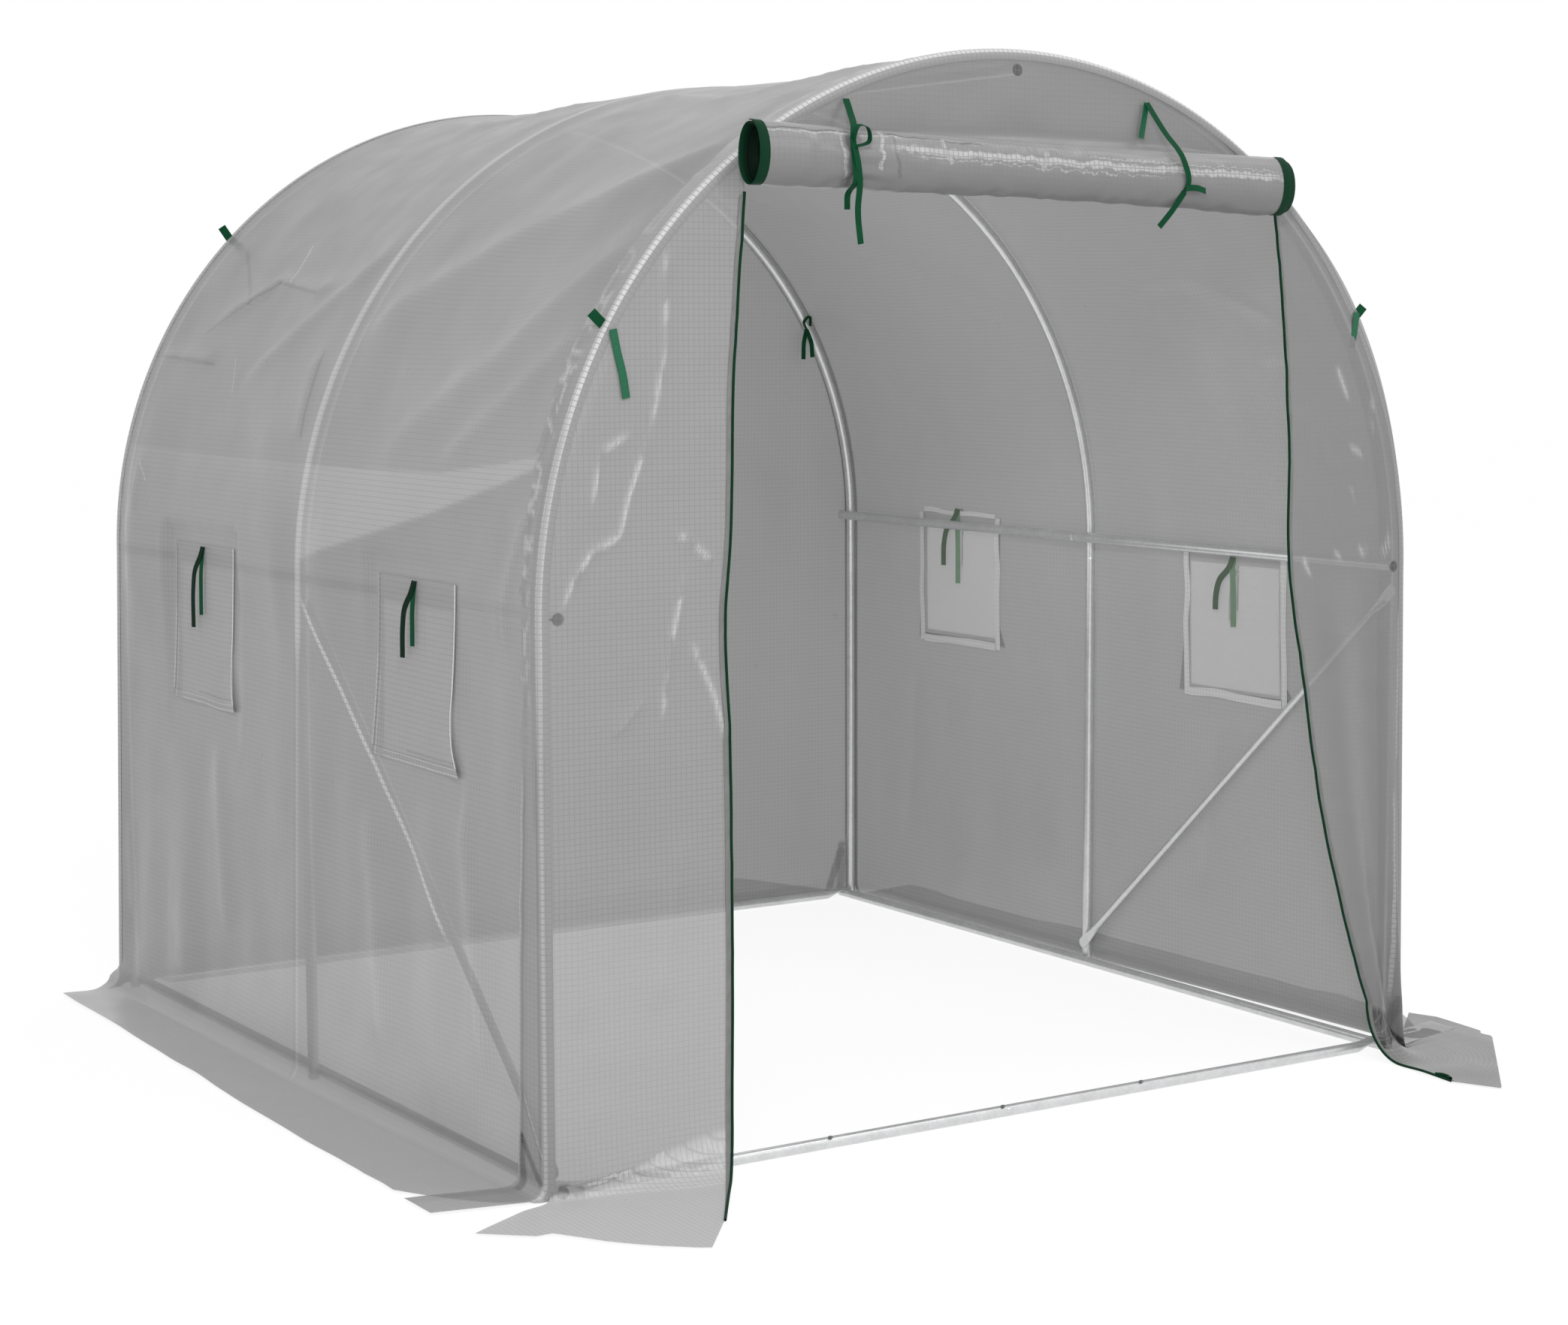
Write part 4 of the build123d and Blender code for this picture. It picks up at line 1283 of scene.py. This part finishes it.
def make_zips(left_points, right_points):
    """Green piping along each free edge, with a grey tape beside it."""
    for name, points in (("left_zip", left_points), ("right_zip", right_points)):
        points = points[points[:, -1, 2] < zip_top]
        line = points[:, -1] + np.array([0, -0.002, 0.0015])
        rings, quads, weave = rod_mesh(line, piping_radius)
        rod = sheet_mesh(name + "_piping", rings, quads, weave, piping)
        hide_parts("door_zips")
        strip = edge_strip(points, zip_inset, zip_inset + zip_width, zip_lift)
        hem = lattice(name + "_tape", strip, flat_place(strip), zip_grey)


# Windows in the walls: net inside, hemmed flap outside, tape ties on both sides
net_margin = 0.004  # of the net past its opening
net_depth = 0.0035  # of the net inside the film
net_hem_depth = 0.0045
head_width = 0.012  # of the hem over the net
flap_gap = 0.0014  # between film and flap
flap_hem_lift = 0.0009  # of a hem off its flap


def wall_place(side, y, z):
    """x of the cover's film at a place on a wall, side -1 at the left and 1 at the right."""
    y, z = np.asarray(y, float), np.asarray(z, float)
    h = z - foot_rise if side < 0 else over_length - (z - foot_rise)
    return side * (wall_x + cover_lift(y, h) + lean(side, y, z))


def make_windows():
    for name, side, end, rise, flap_rise, tie_rise in windows:
        middle = end * window_y
        make_net(f"{name}_net", side, middle, rise)
        make_flap(f"{name}_flap", side, middle, rise, flap_rise, 100 + 10 * side + end)
        make_window_ties(name, side, middle, tie_rise)


def make_net(name, side, middle, rise):
    """The net over an opening, and the hems on its four sides."""
    half = window_half + net_margin
    low, high = window_low.z - net_margin + rise, window_high.z + 0.02 + rise
    grid = np.meshgrid(np.linspace(middle - half, middle + half, 26), np.linspace(low, high, 26))
    piece = make_lining(name, side, *grid, net_depth, net, "window_net")
    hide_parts("window_screens")
    outer, sill = half + hem_width, low - hem_width
    strips = {
        "near": (middle - outer, middle - half, sill, high),
        "far": (middle + half, middle + outer, sill, high),
        "sill": (middle - half, middle + half, sill, low),
        "head": (middle - half, middle + half, high, high + head_width),
    }
    for label, (y_low, y_high, z_low, z_high) in strips.items():
        level = label in ("sill", "head")
        columns, rows = (26, 4) if level else (4, 30)
        y, z = np.meshgrid(np.linspace(y_low, y_high, columns), np.linspace(z_low, z_high, rows))
        wave = 0.004 * soft_noise(y, z, (0.09, 0.07), 171 + int(10 * middle))
        y, z = (y, z + wave) if level else (y + wave, z)
        hem = make_lining(f"{name}_{label}_hem", side, y, z, net_hem_depth, hem_net, "window_net")


def make_lining(name, side, y, z, depth, material, slot):
    """A piece sewn to the inner face of a wall."""
    x = wall_place(side, y, z) - side * depth
    return lattice(name, np.stack([x, y, z], -1), np.stack([y, z], -1), material)


# How far a flap's front and rear edges stray from upright, at shares of its height
flap_front = curve_through(
    [(0.0, -0.02), (0.16, 0.012), (0.3, 0.021), (0.45, 0.014), (0.75, 0.004), (1.0, 0.0)]
)
flap_rear = curve_through([(0.0, 0.03), (0.2, 0.02), (0.5, 0.008), (1.0, 0.0)])

# Stitching of a flap's hems, as places on the flat flap (along it from its middle, up from its foot)
flap_stitches = [
    ((-0.19, 0.004), (0.13, 0.004), 0.0018, 0.75, 0.002),
    ((-0.19, 0.015), (0.13, 0.015), 0.0018, 0.7, 0.002),
    ((-0.17, 0.024), (0.04, 0.024), 0.0014, -0.3, 0.002),
    ((flap_half - 0.004, -0.02), (flap_half - 0.004, 0.2), 0.002, 0.65, 0.003),
    ((flap_half - 0.016, -0.02), (flap_half - 0.016, 0.16), 0.0018, 0.55, 0.003),
]
flap_film = film_material("flap_film", film_colour, flap_alpha, flap_stitches)


def make_flap(name, side, middle, rise, flap_rise, seed):
    """A flap sewn on above its opening, with hems at its foot and its two sides."""
    top, low = flap_high.z + flap_rise, flap_low.z + 0.004 + rise
    s, t = np.meshgrid(np.linspace(-1, 1, 40), np.linspace(0, 1, 44))
    stray = flap_front(t) * (1 - s) / 2 + flap_rear(t) * (1 + s) / 2
    y = middle + (flap_half - 0.003) * s + (1.0 if middle < 0 else 0.6) * stray
    z = low + (top - low) * t + 0.004 * soft_noise(s, t * 0, (0.5, 1), seed + 1) * (1 - t)
    front_edge = smooth((-s - 0.6) / 0.4) * smooth((1 - t) * 3)
    kick = 0.004 * front_edge * smooth((1 - t) * 3 - 2)
    away = flap_gap + 0.0012 * front_edge + kick
    x = wall_place(side, y, z) + side * away
    points = np.stack([x, y, z], -1)
    weave = np.stack([flap_half * s, (top - low) * t], -1)
    flap = lattice(name, points, weave, flap_film, np.full(y.shape, flap_tone))
    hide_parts("window_flaps")
    # The front hem is drawn in near-white film: a painted highlight along the doubled hem
    hem_highlight_strip = np.stack([points[:, 0], 0.4 * points[:, 0] + 0.6 * points[:, 1]], 1)
    borders = (
        (points[:3], weave[:3], flap_film),
        (hem_highlight_strip, weave[:, :2], hem_highlight_film),
        (points[:, -2:], weave[:, -2:], flap_film),
    )
    for count, (border, flat, material) in enumerate(borders):
        border = border + np.array([side * flap_hem_lift, 0, 0])
        tone = np.full(border.shape[:2], flap_hem_tone)
        hem = lattice(f"{name}_hem_{count}", border, flat, material, tone)
        across, along = flat_place(border)[-1].mean(0)[1], flat_place(border)[:, -1].mean(0)[0]
        width, length = sorted((across, along))
        width = max(width, 0.01)


def make_window_ties(name, side, middle, rise):
    """A tape folded over its sewn middle, with two tails, on each face of the wall."""
    top = flap_high.z + rise
    cut_share = 0.83 if middle < 0 else 1.0
    # The dark tails are in shaded copies of the tape: painted shade
    # Name, face of the wall, how far it strays to the rear, length, how far it stands off, width and material
    tails = (
        ("outer_dark", 1, 0.035, 0.173, 0.012, 0.011, shaded_green),
        ("outer_light", 1, 0.004, 0.145, 0.007, 0.01, green),
        ("inner_dark", -1, 0.048, 0.142, 0.012, 0.013, shaded_netted_green),
        ("inner_light", -1, -0.006, 0.184, 0.007, 0.013, pale_green),
    )
    for label, out, rearward, long, lift, width, material in tails:
        knots = []
        upper = ((0.0, 0.0, 0.3), (0.02, 0.1, 0.7), (0.055, 0.75, 1.0), (0.085, 0.95, 1.0))
        for drop, share, stand in (*upper, (cut_share * long, 1.0, 1.0)):
            y = middle + rearward * share
            x = float(wall_place(side, y, top - drop)) + side * out * (0.0035 + lift * stand)
            knots.append((x, y, top - drop))
        strip = [(knots, (0.4 * side * out, 1, 0))]
        make_tape(f"{name}_tie_{label}", strip, "window_ties", material, width)


# Ties of green tape at the door and on the hoops
tail_width = 0.015
knot_width = 0.018


def make_door_ties():
    """The tapes round the roll: a bow with two tails at the left, two loose ends at the right."""
    front = roll_low.y - 0.006
    knot = (-0.418, front, 1.822)
    left = [
        (
            [
                (-0.382, front_y - 0.006, 1.9), (-0.392, front_y - 0.035, 1.873),
                (-0.411, front + 0.008, 1.843), knot,
            ],
            (1, 0, 0.25),
        ),
        (
            [
                knot, (-0.409, front - 0.007, 1.849), (-0.394, front - 0.008, 1.846),
                (-0.389, front - 0.008, 1.822), (-0.414, front - 0.002, 1.812),
            ],
            (0, 1, 0.3),
        ),
        (
            [
                knot, (-0.416, front - 0.003, 1.79), (-0.412, front, 1.752),
                (-0.409, front + 0.03, 1.73), (-0.408, front + 0.033, 1.705),
            ],
            (1, 0, 0),
        ),
        (
            [
                knot, (-0.413, front - 0.005, 1.795), (-0.405, front - 0.002, 1.757),
                (-0.394, front + 0.02, 1.7), (-0.384, front + 0.026, 1.645),
            ],
            (1, 0, 0),
        ),
    ]
    make_tape("left_door_tie", left, "door_ties")
    apex = (0.301, front_y - 0.006, 1.918)
    right = [
        (
            [
                apex, (0.313, front_y - 0.045, 1.862), (0.329, front, 1.81),
                (0.341, front - 0.001, 1.765), (0.335, front + 0.012, 1.74),
            ],
            (1, 0, 0.2),
        ),
        (
            [(0.336, front + 0.004, 1.75), (0.322, front + 0.02, 1.718), (0.297, front + 0.03, 1.685)],
            (1, 0, -0.4),
        ),
        (
            [(0.334, front - 0.002, 1.757), (0.356, front - 0.008, 1.757), (0.378, front - 0.007, 1.752)],
            (0, 0.3, 1),
        ),
    ]
    make_tape("right_door_tie", right, "door_ties")
    behind = [([apex, (0.296, front_y - 0.007, 1.895), (0.288, front_y - 0.007, 1.852)], (1, 0, 0))]
    make_tape("right_door_tie_behind", behind, "door_ties", pressed_green)


def make_hoop_ties():
    """Tails pressed behind the front film, knots that stand off the hoops outside, and a bow inside."""
    front = front_y - 0.004
    tails = {
        "front_left": [
            (-0.856, front, 1.498), (-0.849, front - 0.001, 1.462),
            (-0.838, front - 0.001, 1.42), (-0.831, front, 1.381),
        ],
        "front_right": [(0.85, front, 1.525), (0.844, front - 0.001, 1.49), (0.838, front, 1.455)],
    }
    for name, knots in tails.items():
        strip = [(knots, (1, 0, 0))]
        make_tape(f"{name}_hoop_tail", strip, "hoop_ties", pressed_green, tail_width)
    ends = (
        ("front_left", -0.868, 1.507, hoop_ys[0], "front_arch"),
        ("front_right", 0.862, 1.517, hoop_ys[0], "front_arch"),
        ("rear_left", -0.717, 1.703, hoop_ys[2], "rear_arch"),
    )
    for name, x, z, y, arch in ends:
        out = np.array([x, 0, z - spring]) / math.hypot(x, z - spring)
        foot = np.array([0, y, spring]) + out * (radius + 0.002)
        facing = np.cross(out, np.array(camera_place) - foot)
        knots = [foot + out * reach + np.array([0, 0, 0.3 * reach]) for reach in (0.0, 0.012, 0.026)]
        make_tape(f"{name}_hoop_knot", [(knots, facing)], "hoop_ties", width=knot_width)
    inside = radius - 2 * tube - 0.004
    y = hoop_ys[2] - tube - 0.004
    a = math.asin(0.49 / inside)
    foot = np.array([inside * math.cos(a), y, spring + inside * math.sin(a)])
    bow = [
        (
            [
                foot, foot + (-0.012, -0.006, 0.02),
                foot + (0.004, -0.008, 0.035), foot + (0.008, -0.004, 0.01),
            ],
            (0, 1, 0.2),
        ),
        ([foot, foot + (-0.012, -0.006, -0.03), foot + (-0.014, -0.006, -0.075)], (1, 0, 0)),
        ([foot, foot + (0.008, -0.008, -0.03), foot + (0.012, -0.008, -0.07)], (1, 0, 0)),
    ]
    make_tape("rear_right_hoop_bow", bow, "hoop_ties")


# Bolts of the frame, and the pull of the right zip
rail_bolt_xs = (-0.405, -0.01, 0.329)  # on the front and rear base rails
foot_bolt_z = 0.011  # on the legs, at the side base rails


def make_bolts():
    """Domed bolt heads at the frame's joints, as one mesh."""
    inner = hoop_half - tube
    heads = []
    for side in (-1, 1):
        heads += [((side * inner, y, z), (-side, 0, 0)) for y in hoop_ys for z in (purlin_z, foot_bolt_z)]
    for y in (hoop_ys[0], hoop_ys[2]):
        heads += [((x, y, 2 * tube), (0, 0, 1)) for x in rail_bolt_xs]
    points, quads = [], []
    rings = [(0.0045, 0.0), (0.0045, 0.0012), (0.0036, 0.0024), (0.002, 0.003), (0.0004, 0.0031)]
    sides = 12
    angles = np.linspace(0, 2 * np.pi, sides, endpoint=False)
    for centre, facing in heads:
        facing = np.array(facing, float)
        first = np.cross(facing, (0.0, 1.0, 0.0))
        second = np.cross(facing, first)
        quads.append(ring_quads(len(rings), sides) + len(points))
        for wide, high in rings:
            middle = np.array(centre) + facing * high
            points += [middle + wide * (np.cos(a) * first + np.sin(a) * second) for a in angles]
    points = np.array(points)
    sheet_mesh("bolts", points, np.concatenate(quads), points[:, :2], bolt_steel)


def make_zip_pull(right_points):
    """The right zip's pull and the loose end of its tape, on the ground."""
    end, before = right_points[0, -1], right_points[6, -1]
    back = (before - end) / np.linalg.norm(before - end)
    out = np.array([-back[1], back[0], 0.0])
    lumps = [(0.045, 0.0, 0.004), (0.032, 0.006, 0.0052), (0.018, 0.009, 0.0045), (0.004, 0.004, 0.004)]
    line = np.array([end + back * along - out * beside + (0, 0, 0.004) for along, beside, _ in lumps])
    thick = np.array([size for _, _, size in lumps])[:, None, None]
    rings, quads, weave = rod_mesh(line, thick)
    sheet_mesh("right_zip_pull", rings, quads, weave, piping)


# Stage: pale floor, white surroundings and soft lamps
floor_half = 30.0
floor_grey = (0.8, 0.8, 0.8, 1)  # as it lights the part
shadow_grey = (0.22, 0.22, 0.22, 1)  # as it is seen, with a glow added so that shadows are faint
floor_glow = 0.86
sky_strength = 0.62


def seen_white(tree):
    """1 for rays that show the background: straight from the camera, or by a mirror or glass."""
    path = tree.nodes.new("ShaderNodeLightPath")
    total = path.outputs["Is Camera Ray"]
    for ray in ("Is Glossy Ray", "Is Transmission Ray"):
        either = tree.nodes.new("ShaderNodeMath")
        either.operation = "MAXIMUM"
        tree.links.new(total, either.inputs[0])
        tree.links.new(path.outputs[ray], either.inputs[1])
        total = either.outputs[0]
    return total


def make_floor():
    """A floor that lights the part as a grey one does, and is seen nearly white."""
    mesh = bpy.data.meshes.new("floor")
    corners = [(x * floor_half, y * floor_half, 0) for x, y in ((-1, -1), (1, -1), (1, 1), (-1, 1))]
    mesh.from_pydata(corners, [], [(0, 1, 2, 3)])
    floor = bpy.data.objects.new("floor", mesh)
    floor.location.z = -0.0005
    bpy.context.scene.collection.objects.link(floor)
    material = bpy.data.materials.new("floor")
    material.use_nodes = True
    tree = material.node_tree
    tree.nodes.remove(tree.nodes["Principled BSDF"])
    lit = tree.nodes.new("ShaderNodeBsdfDiffuse")
    lit.inputs["Color"].default_value = floor_grey
    shadowed = tree.nodes.new("ShaderNodeBsdfDiffuse")
    shadowed.inputs["Color"].default_value = shadow_grey
    glow = tree.nodes.new("ShaderNodeEmission")
    glow.inputs["Strength"].default_value = floor_glow
    both = tree.nodes.new("ShaderNodeAddShader")
    tree.links.new(shadowed.outputs[0], both.inputs[0])
    tree.links.new(glow.outputs[0], both.inputs[1])
    choose = tree.nodes.new("ShaderNodeMixShader")
    tree.links.new(seen_white(tree), choose.inputs[0])
    tree.links.new(lit.outputs[0], choose.inputs[1])
    tree.links.new(both.outputs[0], choose.inputs[2])
    tree.links.new(choose.outputs[0], tree.nodes["Material Output"].inputs["Surface"])
    mesh.materials.append(material)


def make_world():
    """Even light all round, seen as plain white."""
    world = bpy.data.worlds.new("surroundings")
    bpy.context.scene.world = world
    world.use_nodes = True
    tree = world.node_tree
    sky = tree.nodes["Background"]
    sky.inputs["Strength"].default_value = sky_strength
    white = tree.nodes.new("ShaderNodeBackground")
    for background in (sky, white):
        background.inputs["Color"].default_value = (1, 1, 1, 1)
    choose = tree.nodes.new("ShaderNodeMixShader")
    tree.links.new(seen_white(tree), choose.inputs[0])
    tree.links.new(sky.outputs[0], choose.inputs[1])
    tree.links.new(white.outputs[0], choose.inputs[2])
    tree.links.new(choose.outputs[0], tree.nodes["World Output"].inputs["Surface"])


def soft_lamp(name, location, target, size, power, gloss=1.0):
    data = bpy.data.lights.new(name, "AREA")
    data.shape = "DISK"
    data.size = size
    data.energy = power
    data.specular_factor = gloss
    lamp = bpy.data.objects.new(name, data)
    lamp.location = location
    lamp.rotation_euler = (Vector(target) - Vector(location)).to_track_quat("-Z", "Y").to_euler()
    bpy.context.scene.collection.objects.link(lamp)


def glow_lamp(name, location, size, power):
    """Light that has come in through the film all round."""
    data = bpy.data.lights.new(name, "POINT")
    data.shadow_soft_size = size
    data.energy = power
    data.specular_factor = 0.0
    data.use_shadow = False
    lamp = bpy.data.objects.new(name, data)
    lamp.location = location
    bpy.context.scene.collection.objects.link(lamp)


# The pieces, in order
make_cover()
make_band("front_edge_band", -1, 1.0, 0.007, 0.062)
make_band("rear_edge_band", 1, 0.1, 0.01, 0.012)
left_points, right_points = make_front_panels()
make_header()
make_rear()
make_roll()
make_zips(left_points, right_points)
make_bolts()
make_zip_pull(right_points)
make_windows()
make_door_ties()
make_hoop_ties()

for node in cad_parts.values():
    if not node.hide_render:
        node.data.materials.clear()
        node.data.materials.append(steel)

# Camera at the photograph's place and angle
camera_data = bpy.data.cameras.new("camera")
camera_data.sensor_fit = "HORIZONTAL"
camera_data.sensor_width = 36.0
camera_data.lens = focal_pixels * camera_data.sensor_width / image_width
camera = bpy.data.objects.new("camera", camera_data)
camera.location = camera_place
camera.rotation_euler = Euler([math.radians(a) for a in camera_turn])
bpy.context.scene.collection.objects.link(camera)
bpy.context.scene.camera = camera

make_floor()
make_world()
soft_lamp("key", (-2.6, -4.4, 3.2), (-0.6, -0.8, 1.1), 0.8, 46)
soft_lamp("glint", (1.5, -4.8, 3.6), (-0.5, -1.0, 1.2), 0.35, 16)
soft_lamp("strip", (2.5, -2.1, 4.8), (0.0, -1.05, 1.8), 1.2, 14)
glow_lamp("inside", (0, 0.1, 1.15), 0.45, 8)

bpy.context.scene.view_settings.view_transform = "Standard"
